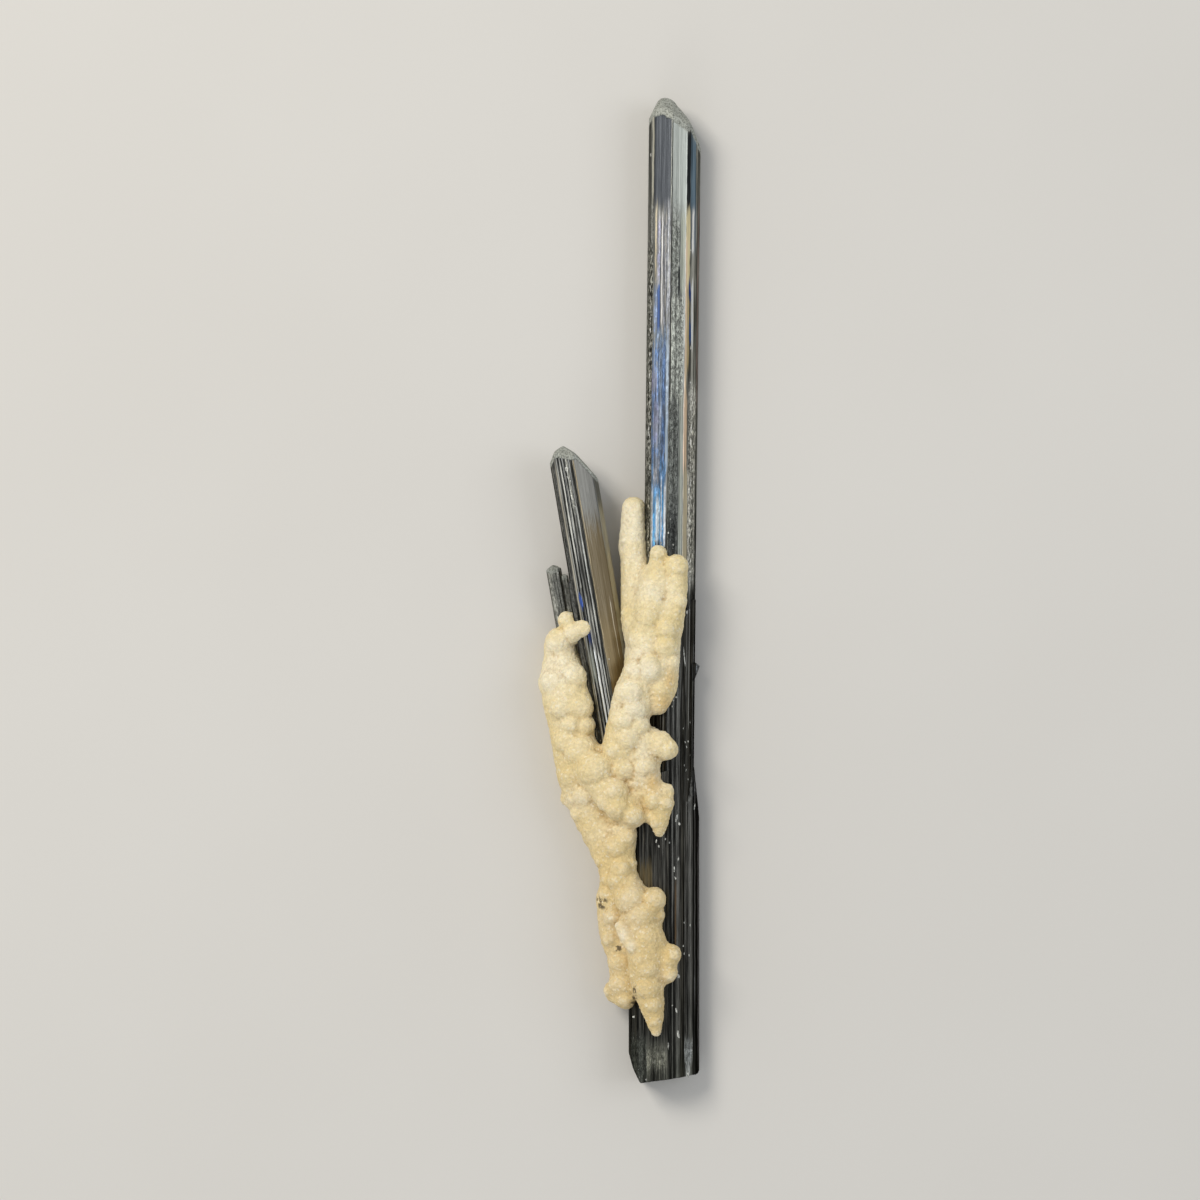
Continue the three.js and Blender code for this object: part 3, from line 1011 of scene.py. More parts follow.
@dataclass
class MainCrystal:
    """The long crystal, with the thin blades and the spur that have grown along its sides."""

    name: str = "long_crystal"
    length: float = 179.5
    lean: float = 0.0115
    lean_start: float = 52.0
    seed: int = 11
    section: Outline = (
        (-1.6, 4.2), (-1.05, 6.5), (-0.3, 7.4), (2.65, 8.9), (5.4, 8.3), (7.0, 6.1), (7.95, 3.9),
        (7.2, 1.2), (6.0, 0.0), (0.6, 0.0), (-0.8, 1.3),
    )
    tip: tuple[Cut, ...] = (
        Cut((7.05, 175.5, 4.5), (0.775, 0.632, 0.05)),
        Cut((8.25, 172.9, 4.5), (0.923, 0.385, 0.05)),
        Cut((4.0, 179.1, 4.5), (0.478, 0.878, 0.05)),
        Cut((2.8, 179.6, 4.5), (0.02, 1.0, 0.05)),
        Cut((1.85, 179.2, 4.5), (-0.62, 0.78, 0.05)),
        Cut((0.65, 177.3, 4.5), (-0.896, 0.444, 0.05)),
        Cut((2.6, 179.6, 5.4), (0.06, 0.74, 0.67)),
        Cut((1.2, 177.9, 6.6), (-0.5, 0.62, 0.6)),
        Cut((5.2, 176.6, 7.4), (0.55, 0.6, 0.58)),
        Cut((2.6, 179.5, 4.6), (0.0, 0.72, -0.69)),
    )
    foot: tuple[Cut, ...] = (
        Cut((-1.8, 0.0, 5.0), (0.141, -0.985, 0.06)),
        Cut((-3.1, 2.5, 4.0), (-0.96, -0.27, 0.02)),
        Cut((-3.1, 2.5, 4.0), (-0.88, -0.46, 0.02)),
        Cut((8.9, 1.7, 4.0), (0.8, -0.6, 0.0)),
        Cut((3.5, 0.6, 8.6), (0.05, -0.8, 0.6)),
    )
    left_blade: Outline = (
        (-3.9, 2.9), (-3.6, 6.3), (-2.4, 8.2), (3.4, 9.2), (3.4, 3.0), (-0.5, 1.0), (-2.6, 0.9),
    )
    right_blade: Outline = ((5.0, 1.6), (5.0, 8.38), (6.9, 6.6), (7.95, 4.2), (8.0, 3.6), (7.4, 1.7))
    flare: Outline = ((6.6, 1.7), (6.6, 6.9), (7.9, 6.0), (8.8, 4.7), (9.1, 3.6), (8.3, 1.7))
    spur: Outline = ((7.2, 2.8), (7.2, 5.2), (8.1, 5.4), (8.9, 4.1), (8.4, 2.8))

    def prisms(self) -> list[Prism]:
        """Lists the shaft and what has grown along it.

        Returns:
            The prisms, the shaft first.
        """
        fine = (Growth(0.14, 0.45, 0.09, calm_above=100.0, calm_share=0.12),)
        left_end = Cut((-3.0, 55.0, 5.0), (-0.5, 0.8, 0.3))
        right_end = Cut((6.5, 84.0, 7.4), (0.0, 0.3, 0.95))
        flare_ends = (Cut((9.15, 47.4, 4.0), (0.99, 0.12, 0.08)), Cut((7.5, 52.0, 6.2), (0.3, 0.3, 0.9)))
        spur_ends = (
            Cut((8.9, 76.2, 4.1), (0.62, 0.7, 0.35)), Cut((8.9, 76.0, 4.1), (0.6, 0.7, -0.4)),
            Cut((8.9, 75.2, 4.1), (0.9, -0.35, 0.25)), Cut((8.9, 75.2, 4.1), (0.9, -0.35, -0.3)),
        )
        shared = {"growth": fine, "lean": self.lean, "lean_start": self.lean_start, "row_pitch": 1.1}
        side = {"cap_rings": 10, "frosted": False, **shared}
        shaft = Ends(-1.0, self.length, self.tip + self.foot, (1.4, 4.6), 0.16)
        return [
            Prism(self.section, shaft, seed=self.seed, frost_depth=2.4, **shared),
            Prism(self.left_blade, Ends(-1.0, 57.0, (left_end,) + self.foot), seed=self.seed + 1, **side),
            Prism(self.right_blade, Ends(-1.0, 88.0, (right_end,) + self.foot), seed=self.seed + 2, **side),
            Prism(self.flare, Ends(-1.0, 57.5, flare_ends + self.foot), seed=self.seed + 4, **side),
            Prism(self.spur, Ends(70.0, 78.4, spur_ends), seed=self.seed + 3, **side),
        ]

    def finish(self) -> StibniteFinish:
        """Describes its surface.

        Returns:
            The finish.
        """
        return StibniteFinish(
            name="Stibnite",
            length=self.length,
            # The shades darken from the tip to the foot: painted reflection of dark surroundings in the
            # metal.
            darks=((0, "#2A2A25"), (9, "#222220"), (20, "#1E1E1C"), (84, "#20201E"), (96, "#3A3B3A"),
                   (135, "#62635F"), (165, "#767774"), (179, "#767774")),
            lights=((0, "#74746A"), (9, "#62615A"), (20, "#62605A"), (84, "#686762"), (96, "#8C8D8A"),
                    (135, "#B2B3AC"), (165, "#B4B5AE"), (179, "#B4B5AE")),
            bands=self.bands(),
        )

    def bands(self) -> tuple[Band, ...]:
        """Lists the bands of its front, about from the tip down: painted reflections, highlights and shade,
        such as the near-white lines and the near-black strips, together with tarnish colour and pitted
        patches.

        Returns:
            The bands, each painted over the ones before it.
        """
        pitted, smooth, worn, cracked = Grain.PITTED, Grain.SMOOTH, Grain.WORN, Grain.CRACKED
        return (
            Band("#242422", 7.70, 9.40, -1.0, 84.0, 3.0, strength=0.7),
            Band("#3A3A38", -1.25, -1.00, 95.2, 162.0, 3.0),
            Band("#9C9C96", -1.60, -0.50, 95.2, 160.7, 3.0, pitted, 0.7),
            Band("#F4F4EE", -1.60, -0.62, 96.0, 152.0, 2.0, cracked, 0.9),
            Band("#54585E", -0.56, 2.50, 159.4, 178.0, 1.2, smooth, 0.95),
            Band("#B4B7AE", 2.52, 5.39, 158.3, 178.9, 4.0, smooth),
            Band("#C6C9BF", 3.60, 5.30, 158.5, 175.6, 3.0, smooth, 0.8, 0.3),
            Band("#23282E", 5.43, 6.10, 159.1, 173.3, 1.0),
            Band("#64798A", 6.12, 7.11, 158.5, 172.5, 1.6),
            Band("#8E98A4", 6.24, 7.22, 151.6, 158.5, 2.0),
            Band("#D6D3C2", -0.92, -0.62, 160.7, 176.5, 1.0, smooth, 0.9, 0.05),
            Band("#CDC0A2", -0.25, 0.12, 146.0, 159.4, 2.0, smooth, 0.85, 0.06),
            Band("#9696AC", 0.22, 0.76, 146.0, 158.0, 2.0, worn),
            Band("#E4E2E0", 0.94, 1.19, 137.0, 158.0, 1.5, smooth, 0.9, 0.05),
            Band("#5E6068", 1.24, 1.36, 136.0, 157.0, 1.5, smooth, 0.8, 0.04),
            Band("#C2BCB2", 1.62, 1.80, 140.0, 158.0, 1.5, smooth, 0.8, 0.04),
            Band("#70727E", -0.02, 0.10, 137.0, 158.0, 1.5, smooth, 0.7, 0.04),
            Band("#74808C", 0.60, 0.72, 146.0, 156.0, 1.5, smooth, 0.8, 0.04),
            Band("#94979E", 1.35, 2.55, 120.7, 159.4, 2.0, worn),
            Band("#8A9EC0", -0.35, 0.30, 136.1, 144.3, 1.5, worn),
            Band("#4C6598", 0.29, 0.76, 136.7, 145.6, 0.5, smooth, 0.95, 0.06),
            Band("#93A5BC", -0.05, 2.31, 134.3, 136.9, 0.5, worn),
            Band("#6F8DBC", -0.50, 1.90, 112.3, 134.5, 0.8, worn),
            Band("#A3B2C2", 1.95, 2.45, 112.1, 134.5, 1.0, smooth, 0.9, 0.07),
            Band("#9A94A8", -0.51, 0.40, 125.8, 129.4, 1.5, worn, strength=0.8),
            Band("#A79AA4", -0.20, 1.20, 117.0, 123.5, 2.0, worn, strength=0.6),
            Band("#A5B4C4", 0.70, 1.25, 113.0, 134.0, 2.0, worn, strength=0.8, blur=0.2),
            Band("#7AA6D6", -0.45, 2.15, 98.0, 113.0, 1.2, worn),
            Band("#6CB4EC", -0.20, 1.85, 98.5, 107.5, 1.2, worn, blur=0.2),
            Band("#F2F8FA", 0.45, 0.85, 97.5, 106.5, 1.5, smooth, 0.9, 0.08),
            Band("#F4F8FA", 1.30, 1.46, 98.0, 110.0, 1.5, smooth, 0.9, 0.05),
            Band("#A09A94", -0.14, 1.00, 108.8, 114.0, 1.2, worn, strength=0.85),
            Band("#E6E8E6", -0.50, -0.12, 97.5, 107.9, 1.5, smooth, 0.9, 0.06),
            Band("#DDEBF2", 0.80, 1.10, 98.8, 106.1, 1.0, smooth, 0.85, 0.07),
            Band("#EEF2F4", 1.82, 2.14, 98.3, 108.3, 1.5, smooth, 0.95, 0.06),
            Band("#1E2023", 2.58, 2.78, 95.2, 177.1, 1.0, smooth, 0.9, 0.05),
            Band("#8E9088", 2.80, 4.20, 142.5, 158.5, 3.5, pitted),
            Band("#26282A", 3.99, 4.31, 142.7, 148.0, 0.8, smooth, 0.9, 0.07),
            Band("#A6A89E", 2.85, 5.07, 124.3, 142.5, 1.0, pitted),
            Band("#70726C", 2.52, 4.34, 95.2, 124.6, 3.0, pitted, 0.9),
            Band("#2C2E2E", 2.70, 4.10, 95.2, 105.0, 3.0, strength=0.65),
            Band("#AEB0A0", 4.32, 5.16, 144.0, 158.3, 1.5),
            Band("#9C9E92", 4.43, 5.15, 95.2, 125.2, 2.0),
            Band("#EFE3BA", 5.36, 6.10, 145.4, 158.7, 1.2, smooth),
            Band("#C9B88F", 5.73, 6.08, 129.8, 145.4, 1.0, smooth, 0.9, 0.06),
            Band("#F0DABC", 5.34, 5.68, 124.3, 153.4, 1.0, smooth, 0.95, 0.06),
            Band("#DCC3A8", 5.26, 5.86, 111.6, 125.2, 1.5, smooth, 0.95, 0.08),
            Band("#C6BCA2", 5.32, 6.08, 92.0, 111.6, 1.5, smooth, 0.9, 0.08),
            Band("#30498A", 5.98, 6.40, 142.5, 146.0, 0.5, smooth, 0.95, 0.06),
            Band("#3C5A94", 6.12, 6.46, 134.9, 138.5, 0.5, smooth, 0.95, 0.06),
            Band("#E6EAEC", 6.49, 6.76, 134.3, 145.8, 0.8, smooth, 0.95, 0.05),
            Band("#F4F6F6", 6.46, 6.79, 151.6, 158.7, 0.6, smooth, 0.95, 0.05),
            Band("#C6C6BE", 6.14, 7.60, 90.5, 127.2, 2.0, pitted),
            Band("#F4F2EA", 6.20, 7.30, 93.0, 122.0, 2.0, cracked, 0.6),
            Band("#E8E4D8", 6.20, 6.50, 92.0, 112.0, 1.5, smooth, 0.8, 0.05),
            Band("#B59C96", 7.58, 7.75, 124.3, 160.7, 2.0, smooth, 0.7, 0.05),
            Band("#6C6B6A", 8.10, 8.22, 15.1, 84.3, 4.0, smooth, 0.8, 0.05),
            Band("#8C8A8C", 8.74, 8.90, 5.0, 46.0, 4.0, smooth, 0.8, 0.05),
            Band("#5C4A36", 4.45, 4.75, 25.5, 37.0, 1.5, strength=0.9, blur=0.08),
            Band("#777A7C", 8.10, 9.30, 71.0, 78.5, 1.0, pitted),
            Band("#6B6048", -2.55, 0.36, 35.5, 40.2, 1.0),
            Band("#7C7C70", -0.90, 2.91, 2.9, 7.0, 1.6, pitted, blur=0.5),
            Band("#8E908C", 6.25, 7.70, 3.5, 7.8, 1.0, pitted),
            Band("#B6B8B2", 6.55, 7.25, 1.1, 3.5, 0.6),
            Band("#4C4E48", -3.46, -0.73, 0.9, 8.7, 1.0, pitted),
        )

    def build(self) -> bpy.types.Object:
        """Builds and dresses it.

        Returns:
            The long crystal.
        """
        meshes = [prism.mesh(f"{self.name}_{i}") for i, prism in enumerate(self.prisms())]
        piece = finished(self.name, gathered(self.name, meshes), self.finish().material(), CRYSTAL_SHARP_DEG)
        declare(piece, "stibnite", "main_crystal")
        return piece


@dataclass
class SideCrystal:
    """The shorter crystal that leans to the left, shaped upright in a frame of its own and then planted."""

    name: str = "leaning_crystal"
    length: float = 58.9
    tilt_deg: float = 9.6
    rise_deg: float = 1.5
    root: Point = (-4.9, 58.2, 3.0)
    seed: int = 31
    clear_of: float = -1.95
    section: Outline = (
        (-4.1, 2.3), (-3.7, 3.8), (-2.7, 4.8), (0.2, 5.6), (3.3, 4.1), (4.15, 2.9), (3.7, 0.9),
        (2.6, 0.1), (-2.5, 0.1), (-3.6, 0.8),
    )
    tip: tuple[Cut, ...] = (
        Cut((0.7, 57.2, 2.8), (0.84, 0.54, 0.05)),
        Cut((0.7, 57.2, 2.8), (0.67, 0.74, 0.05)),
        Cut((-4.1, 55.9, 2.8), (-0.86, 0.51, 0.05)),
        Cut((-2.8, 58.1, 2.8), (-0.43, 0.9, 0.05)),
        Cut((-1.2, 58.9, 3.2), (0.05, 0.75, 0.66)),
        Cut((-1.2, 58.9, 2.4), (0.0, 0.75, -0.66)),
    )
    sliver: Outline = ((-4.4, 1.9), (-4.5, 3.2), (-3.5, 4.1), (-3.2, 1.7))

    def finish(self) -> StibniteFinish:
        """Describes its surface: ribs of black and silver on the left half, a smooth brownish right half. The
        black and silver ribs, the white lines and the blue spots are painted reflections and glints.

        Returns:
            The finish.
        """
        pitted, smooth = Grain.PITTED, Grain.SMOOTH
        bands = (
            Band("#6E6E6A", -4.2, -3.35, 0.0, 56.0, 1.0, pitted, 0.8),
            Band("#DAD3C0", -3.22, -2.95, 22.0, 55.0, 2.0, smooth, 0.85, 0.07),
            Band("#2E302E", -0.22, 0.06, 20.0, 57.0, 1.0, smooth, 0.85, 0.06),
            Band("#77756E", 0.30, 3.30, 44.0, 57.5, 2.5, smooth, 0.9),
            Band("#64573F", 0.30, 3.30, 2.0, 44.5, 3.0, smooth, 0.9),
            Band("#7E6F52", 0.30, 3.30, 2.0, 26.0, 4.0, smooth, 0.6),
            Band("#8E8C84", 3.30, 4.25, 8.0, 55.0, 2.0, smooth, 0.8),
            Band("#A89878", 0.10, 0.32, 18.0, 57.0, 2.0, smooth, 0.9, 0.05),
            Band("#C9C9C0", -1.25, -0.75, 46.5, 56.2, 0.6, pitted, 0.8),
            Band("#5573C4", -2.85, -2.35, 29.2, 31.8, 0.3, smooth, 0.95, 0.05),
            Band("#3A4C80", -2.40, -1.90, 23.0, 26.0, 0.5, smooth, 0.9, 0.05),
            Band("#9A9C90", -2.90, -2.00, 16.0, 21.5, 1.0, smooth, 0.8),
            Band("#F2F2EC", -1.80, -1.45, 6.0, 21.3, 0.5, smooth, 0.97, 0.04),
            Band("#26282A", -1.42, -1.20, 6.0, 21.3, 0.5, smooth, 0.9, 0.04),
            Band("#F2F2EC", -1.15, -0.85, 6.0, 20.8, 0.5, smooth, 0.97, 0.04),
            Band("#B9B09C", 2.52, 2.66, 19.0, 29.0, 0.5, smooth, 0.8, 0.03),
        )
        darks = ((0, "#2E2E2C"), (40, "#363735"), (58.9, "#444544"))
        lights = ((0, "#C8C7BE"), (40, "#E2E1D8"), (58.9, "#DCDCD4"))
        return StibniteFinish("StibniteSide", self.length, darks, lights, bands, contrast=0.42)

    def build(self) -> bpy.types.Object:
        """Builds, plants and dresses it, clear of the long crystal's side.

        Returns:
            The leaning crystal.
        """
        ribs, plain = Growth(0.26, 0.34, 0.17, True), Growth(0.5, 1.4, 0.03)
        growth = (Growth(), Growth(), ribs, plain, plain, plain, plain, plain, Growth(), Growth())
        blade_ends = Ends(0.0, self.length, self.tip, (-1.2, 2.8), 0.14)
        sliver_ends = Ends(0.0, 34.6, (Cut((-4.3, 34.2, 2.4), (-0.6, 0.8, 0.0)),))
        plain_end = {"cap_rings": 6, "frosted": False}
        blade = Prism(self.section, blade_ends, growth, self.seed, row_pitch=0.6)
        sliver = Prism(self.sliver, sliver_ends, (Growth(),), self.seed + 1, row_pitch=0.6, **plain_end)
        mesh = gathered(self.name, [blade.mesh("blade"), sliver.mesh("sliver")])
        mesh.transform(planting(self.root, self.tilt_deg, self.rise_deg))
        shell = bmesh.new()
        shell.from_mesh(mesh)
        parts = shell.verts[:] + shell.edges[:] + shell.faces[:]
        side = {"plane_co": (self.clear_of, 0, 0), "plane_no": (1, 0, 0), "clear_outer": True}
        cut = bmesh.ops.bisect_plane(shell, geom=parts, dist=MERGE, **side)
        rim = [edge for edge in cut["geom_cut"] if isinstance(edge, bmesh.types.BMEdge)]
        bmesh.ops.holes_fill(shell, edges=rim)
        piece = finished(self.name, settled(shell, mesh), self.finish().material(), CRYSTAL_SHARP_DEG)
        declare(piece, "stibnite_side", "side_crystal")
        return piece


@dataclass
class StubCrystals:
    """The two short crystals at the far left, grown side by side."""

    name: str = "stubs"
    root: Point = (-15.1, 79.6, 2.4)
    tilt_deg: float = 10.0
    rise_deg: float = 1.0
    seed: int = 41
    wide: Outline = ((-1.45, 1.2), (-1.2, 2.2), (-0.2, 2.8), (0.9, 2.4), (1.4, 1.4), (1.0, 0.3), (-0.8, 0.2))
    slim: Outline = ((-0.7, 1.0), (-0.4, 1.9), (0.5, 1.8), (0.75, 1.0), (0.3, 0.4))
    lengths: tuple[float, float] = (14.8, 12.8)
    slim_x: float = 1.65

    def build(self) -> bpy.types.Object:
        """Builds, plants and dresses the pair.

        Returns:
            The stubs, as one piece.
        """
        meshes = []
        stubs = ((self.wide, 0.0, self.lengths[0]), (self.slim, self.slim_x, self.lengths[1]))
        for i, (outline, x, length) in enumerate(stubs):
            cuts = (
                Cut((x - 0.4, length, 1.4), (-0.5, 0.86, 0.05)),
                Cut((x + 0.3, length, 1.4), (0.5, 0.86, 0.05)),
                Cut((x, length, 1.8), (0.0, 0.75, 0.66)),
            )
            shifted = tuple((across + x, depth) for across, depth in outline)
            growth = (Growth(0.2, 0.5, 0.1),)
            ends = Ends(0.0, length + 1, cuts, (x, 1.4), 0.14)
            prism = Prism(shifted, ends, growth, self.seed + i, row_pitch=0.4, cap_rings=12, frost_depth=1.2)
            meshes.append(prism.mesh(f"{self.name}_{i}"))
        mesh = gathered(self.name, meshes)
        mesh.transform(planting(self.root, self.tilt_deg, self.rise_deg))
        finish = StibniteFinish(
            name="StibniteStub",
            length=self.lengths[0],
            darks=((0, "#343430"), (self.lengths[0], "#444540")),
            lights=((0, "#C0BDB0"), (self.lengths[0], "#CAC8BC")),
            bands=(Band("#94948C", -1.5, 2.5, 1.5, 14.0, 1.5, Grain.PITTED, 0.7),),
            frost_colour="#A4A69E",
        )
        piece = finished(self.name, mesh, finish.material(), CRYSTAL_SHARP_DEG)
        declare(piece, "stibnite_stub", "stub_crystals")
        return piece


@dataclass
class CalciteCrust:
    """The crust of calcite: overlapping round fingers and knobs that run together to one lumpy mass.

    Each finger is a row of lumps, given as x, y, z and radius, and each knob is one lump. A bulge swells out
    of the front that they make: it is given as x, y, its radius and the share of the radius that stands
    proud. A mark is a soft oval patch, given as x, y and its reach across and along: pale and smooth,
    honey-coloured or dirty. The swellings, the nodules and the grains are relief, given as its height and its
    frequency.
    """

    name: str = "crust"
    voxel: float = 0.25
    softening: int = 8
    swell: float = 0.05
    spacing: float = 0.35
    ceiling: float = 13.4
    margin: float = 0.35
    swellings: tuple[float, float] = (0.12, 0.3)
    nodules: tuple[tuple[float, float], ...] = ((0.15, 0.42), (0.09, 1.0))
    nodule_level: float = 0.35
    grains: tuple[float, float] = (0.11, 1.9)
    smallest: int = 3000
    sharp_deg: float = 50.0
    fingers: tuple[tuple[Lump, ...], ...] = (
        ((-3.0, 104.5, 4.4, 2.2), (-3.1, 101.0, 4.5, 2.3), (-3.2, 98.0, 4.6, 2.5), (-2.7, 94.0, 5.0, 2.6),
         (-2.3, 89.5, 5.6, 3.1), (-2.2, 84.5, 6.4, 3.2), (-1.9, 79.5, 7.4, 2.6), (-2.2, 75.5, 8.0, 2.6)),
        ((0.4, 91.8, 8.0, 2.4), (0.4, 88.4, 8.6, 3.1), (0.2, 84.6, 8.7, 3.4), (-0.4, 79.8, 8.3, 3.5),
         (-1.4, 75.0, 8.2, 3.5), (-2.9, 70.6, 8.8, 3.8), (-4.0, 66.0, 8.8, 3.7), (-4.8, 61.5, 8.2, 3.8),
         (-5.4, 57.0, 7.0, 3.7), (-6.0, 53.0, 6.8, 3.6), (-5.6, 49.6, 6.8, 3.4)),
        ((-12.4, 60.4, 6.0, 3.5), (-10.4, 57.0, 7.6, 3.5), (-7.8, 53.4, 8.9, 3.2), (-5.4, 50.6, 9.5, 2.8),
         (-3.1, 48.8, 9.9, 2.1)),
        ((1.5, 96.6, 8.2, 1.3), (1.4, 93.8, 8.4, 1.9), (1.6, 90.6, 8.8, 2.3)),
        ((4.9, 93.9, 8.7, 1.9), (4.5, 90.4, 8.8, 2.4), (3.8, 86.0, 9.0, 2.6), (2.7, 81.0, 9.0, 2.9),
         (2.5, 76.6, 9.0, 2.8), (2.2, 72.4, 9.0, 2.8), (1.2, 69.4, 8.8, 2.3)),
        ((-3.2, 62.8, 8.6, 3.5), (-0.4, 61.9, 9.1, 3.1), (3.0, 61.0, 9.8, 2.0)),
        ((-1.4, 60.4, 9.0, 3.2), (-0.9, 56.4, 9.2, 2.7), (0.1, 53.4, 9.5, 2.1), (2.1, 51.3, 9.9, 2.2),
         (1.8, 48.6, 9.8, 1.7), (1.6, 46.0, 9.7, 1.1)),
        ((-16.5, 79.8, 4.0, 2.8), (-16.1, 76.8, 3.8, 3.3), (-15.6, 73.4, 4.2, 4.4), (-14.9, 69.8, 4.6, 4.7),
         (-14.2, 66.0, 4.4, 4.4), (-13.6, 62.0, 4.3, 4.3), (-13.0, 57.0, 4.3, 4.2), (-11.6, 52.6, 4.5, 4.1),
         (-9.8, 48.4, 5.0, 3.9), (-7.8, 44.4, 5.6, 3.8), (-5.9, 40.4, 6.0, 3.8), (-5.6, 36.6, 6.2, 3.3),
         (-6.4, 33.4, 5.8, 3.4), (-6.1, 30.0, 5.6, 3.5), (-5.9, 26.6, 5.6, 3.2), (-4.8, 22.8, 5.8, 2.7),
         (-4.5, 19.0, 5.8, 2.8), (-4.4, 15.9, 5.8, 2.5)),
        ((-5.0, 45.6, 8.0, 2.7), (-5.4, 41.0, 8.0, 2.6), (-4.9, 37.0, 8.2, 2.8), (-3.0, 33.4, 8.8, 3.2),
         (-1.8, 29.6, 9.2, 3.6), (-0.8, 25.8, 9.4, 3.7), (-0.6, 21.6, 9.4, 3.4), (-0.4, 17.6, 9.3, 2.8),
         (0.3, 14.4, 9.4, 2.2), (0.8, 12.0, 9.5, 1.6), (1.1, 9.6, 9.6, 0.9)),
        ((-5.6, 28.9, 11.0, 0.9), (-4.7, 27.2, 11.7, 1.05), (-3.3, 25.2, 12.3, 1.0)),
    )
    knobs: tuple[Lump, ...] = (
        (-15.0, 84.2, 5.4, 1.8), (-13.8, 82.0, 6.0, 2.0), (-12.1, 82.8, 7.6, 1.7),
        (-17.8, 72.6, 4.0, 2.6), (-14.8, 51.8, 3.8, 1.6),
        (0.2, 75.3, 11.4, 2.0), (0.6, 33.6, 9.6, 2.3), (0.9, 30.8, 9.5, 1.8),
        (3.6, 23.7, 9.8, 2.0), (2.8, 20.5, 9.7, 2.1), (-6.0, 16.7, 4.8, 2.3),
        (0.0, 51.6, 9.0, 1.9), (0.4, 48.8, 9.2, 1.7), (2.9, 53.3, 9.8, 1.5), (-2.2, 52.6, 9.0, 1.7),
        (-2.6, 55.0, 9.2, 1.7), (-12.6, 46.6, 4.4, 0.85), (-11.5, 44.3, 4.8, 0.8), (-10.3, 41.8, 5.0, 0.7),
    )
    bulges: tuple[Bulge, ...] = (
        # Over the shaft, from the top.
        (0.9, 96.5, 1.7, 0.45), (4.5, 94.1, 2.3, 0.39), (5.5, 87.5, 1.7, 0.33), (-0.9, 85.0, 2.5, 0.29),
        (2.5, 82.8, 2.5, 0.42), (-3.3, 81.0, 2.5, 0.33), (3.3, 79.5, 2.5, 0.29), (0.0, 76.6, 2.0, 0.75),
        (4.5, 76.6, 1.5, 0.39), (-3.3, 75.5, 2.5, 0.33), (-4.2, 71.5, 2.9, 0.33), (-2.6, 68.0, 2.7, 0.3),
        (1.8, 71.5, 1.9, 0.2),
        # The finger beside the shaft.
        (-4.7, 98.6, 0.8, 0.65), (-4.9, 85.7, 0.9, 0.65),
        # The left column.
        (-17.1, 81.0, 2.5, 0.39), (-18.7, 73.0, 2.5, 0.36), (-12.9, 74.3, 3.0, 0.33),
        (-16.6, 68.2, 2.5, 0.4), (-14.6, 65.4, 1.9, 0.5), (-11.9, 68.6, 3.0, 0.35),
        (-11.2, 65.2, 2.3, 0.36), (-16.0, 62.1, 2.7, 0.33), (-13.1, 61.0, 3.1, 0.39),
        (-10.0, 57.7, 3.3, 0.45), (-15.3, 55.5, 2.1, 0.33), (-14.6, 51.7, 1.0, 0.59),
        (-12.2, 52.4, 2.7, 0.33), (-13.7, 48.8, 1.7, 0.39),
        # The elbow and its lobes.
        (-5.5, 66.4, 2.7, 0.33), (-1.6, 65.0, 2.5, 0.42), (-4.0, 63.0, 2.9, 0.33), (2.0, 62.2, 2.5, 0.33),
        (3.5, 61.0, 2.1, 0.52), (-4.4, 57.0, 2.5, 0.39), (-0.9, 57.7, 2.1, 0.39), (-6.4, 53.3, 2.7, 0.45),
        (-8.4, 51.0, 2.1, 0.39), (-6.2, 50.4, 2.3, 0.52), (-3.1, 49.0, 1.9, 0.59), (0.4, 51.5, 1.9, 0.45),
        (3.1, 51.3, 1.3, 0.59), (0.7, 47.5, 1.3, 0.39), (-7.1, 60.6, 2.3, 0.33),
        # The waist.
        (-6.9, 43.3, 2.5, 0.45), (-4.2, 44.8, 1.9, 0.39), (-5.5, 39.3, 2.1, 0.45), (-8.2, 37.3, 1.7, 0.45),
        (-2.9, 40.2, 1.7, 0.39), (-9.5, 40.6, 1.5, 0.39),
        # The lower mass.
        (-6.7, 37.3, 2.1, 0.39), (-8.7, 34.6, 1.6, 0.52), (-4.4, 33.9, 2.9, 0.45), (-6.9, 30.6, 1.9, 0.39),
        (0.9, 33.7, 2.1, 0.59), (2.0, 31.1, 1.1, 0.52), (-1.3, 31.5, 3.1, 0.45), (-7.8, 26.4, 1.7, 0.52),
        (-0.9, 26.8, 2.7, 0.39), (-6.4, 22.2, 2.5, 0.39), (-2.4, 22.9, 1.7, 0.39), (-0.7, 21.1, 2.5, 0.39),
        (4.5, 23.8, 1.3, 0.65), (3.1, 22.4, 1.6, 0.45), (3.6, 20.0, 1.2, 0.52), (-6.4, 17.8, 2.5, 0.33),
        (-8.0, 16.7, 1.1, 0.59), (-4.5, 15.1, 1.5, 0.39), (-0.5, 17.7, 2.5, 0.39), (0.5, 14.9, 1.9, 0.39),
        (0.7, 11.6, 1.3, 0.33), (1.8, 17.8, 1.2, 0.39),
    )
    pale: tuple[Mark, ...] = ((0.2, 75.3, 2.0, 2.2), (-4.9, 27.6, 0.9, 1.5), (-3.5, 25.6, 0.9, 1.4))
    honey: tuple[Mark, ...] = ((2.4, 69.4, 1.9, 2.0), (0.4, 54.8, 1.2, 1.8), (3.4, 73.4, 1.2, 2.2))
    dirt: tuple[Mark, ...] = (
        (-8.8, 33.0, 1.1, 1.2), (-3.0, 16.0, 0.6, 2.8), (-6.0, 24.8, 1.0, 0.6),
    )

    def lumps(self) -> list[Lump]:
        """Fills each finger with overlapping lumps.

        Returns:
            All the lumps.
        """
        filled = list(self.knobs)
        for finger in self.fingers:
            for start, end in zip(finger, finger[1:]):
                a, b = Vector(start), Vector(end)
                steps = max(2, math.ceil((b - a).to_3d().length / (self.spacing * min(a[3], b[3]))))
                filled += [tuple(a.lerp(b, i / steps)) for i in range(steps)]
            filled.append(finger[-1])
        return filled

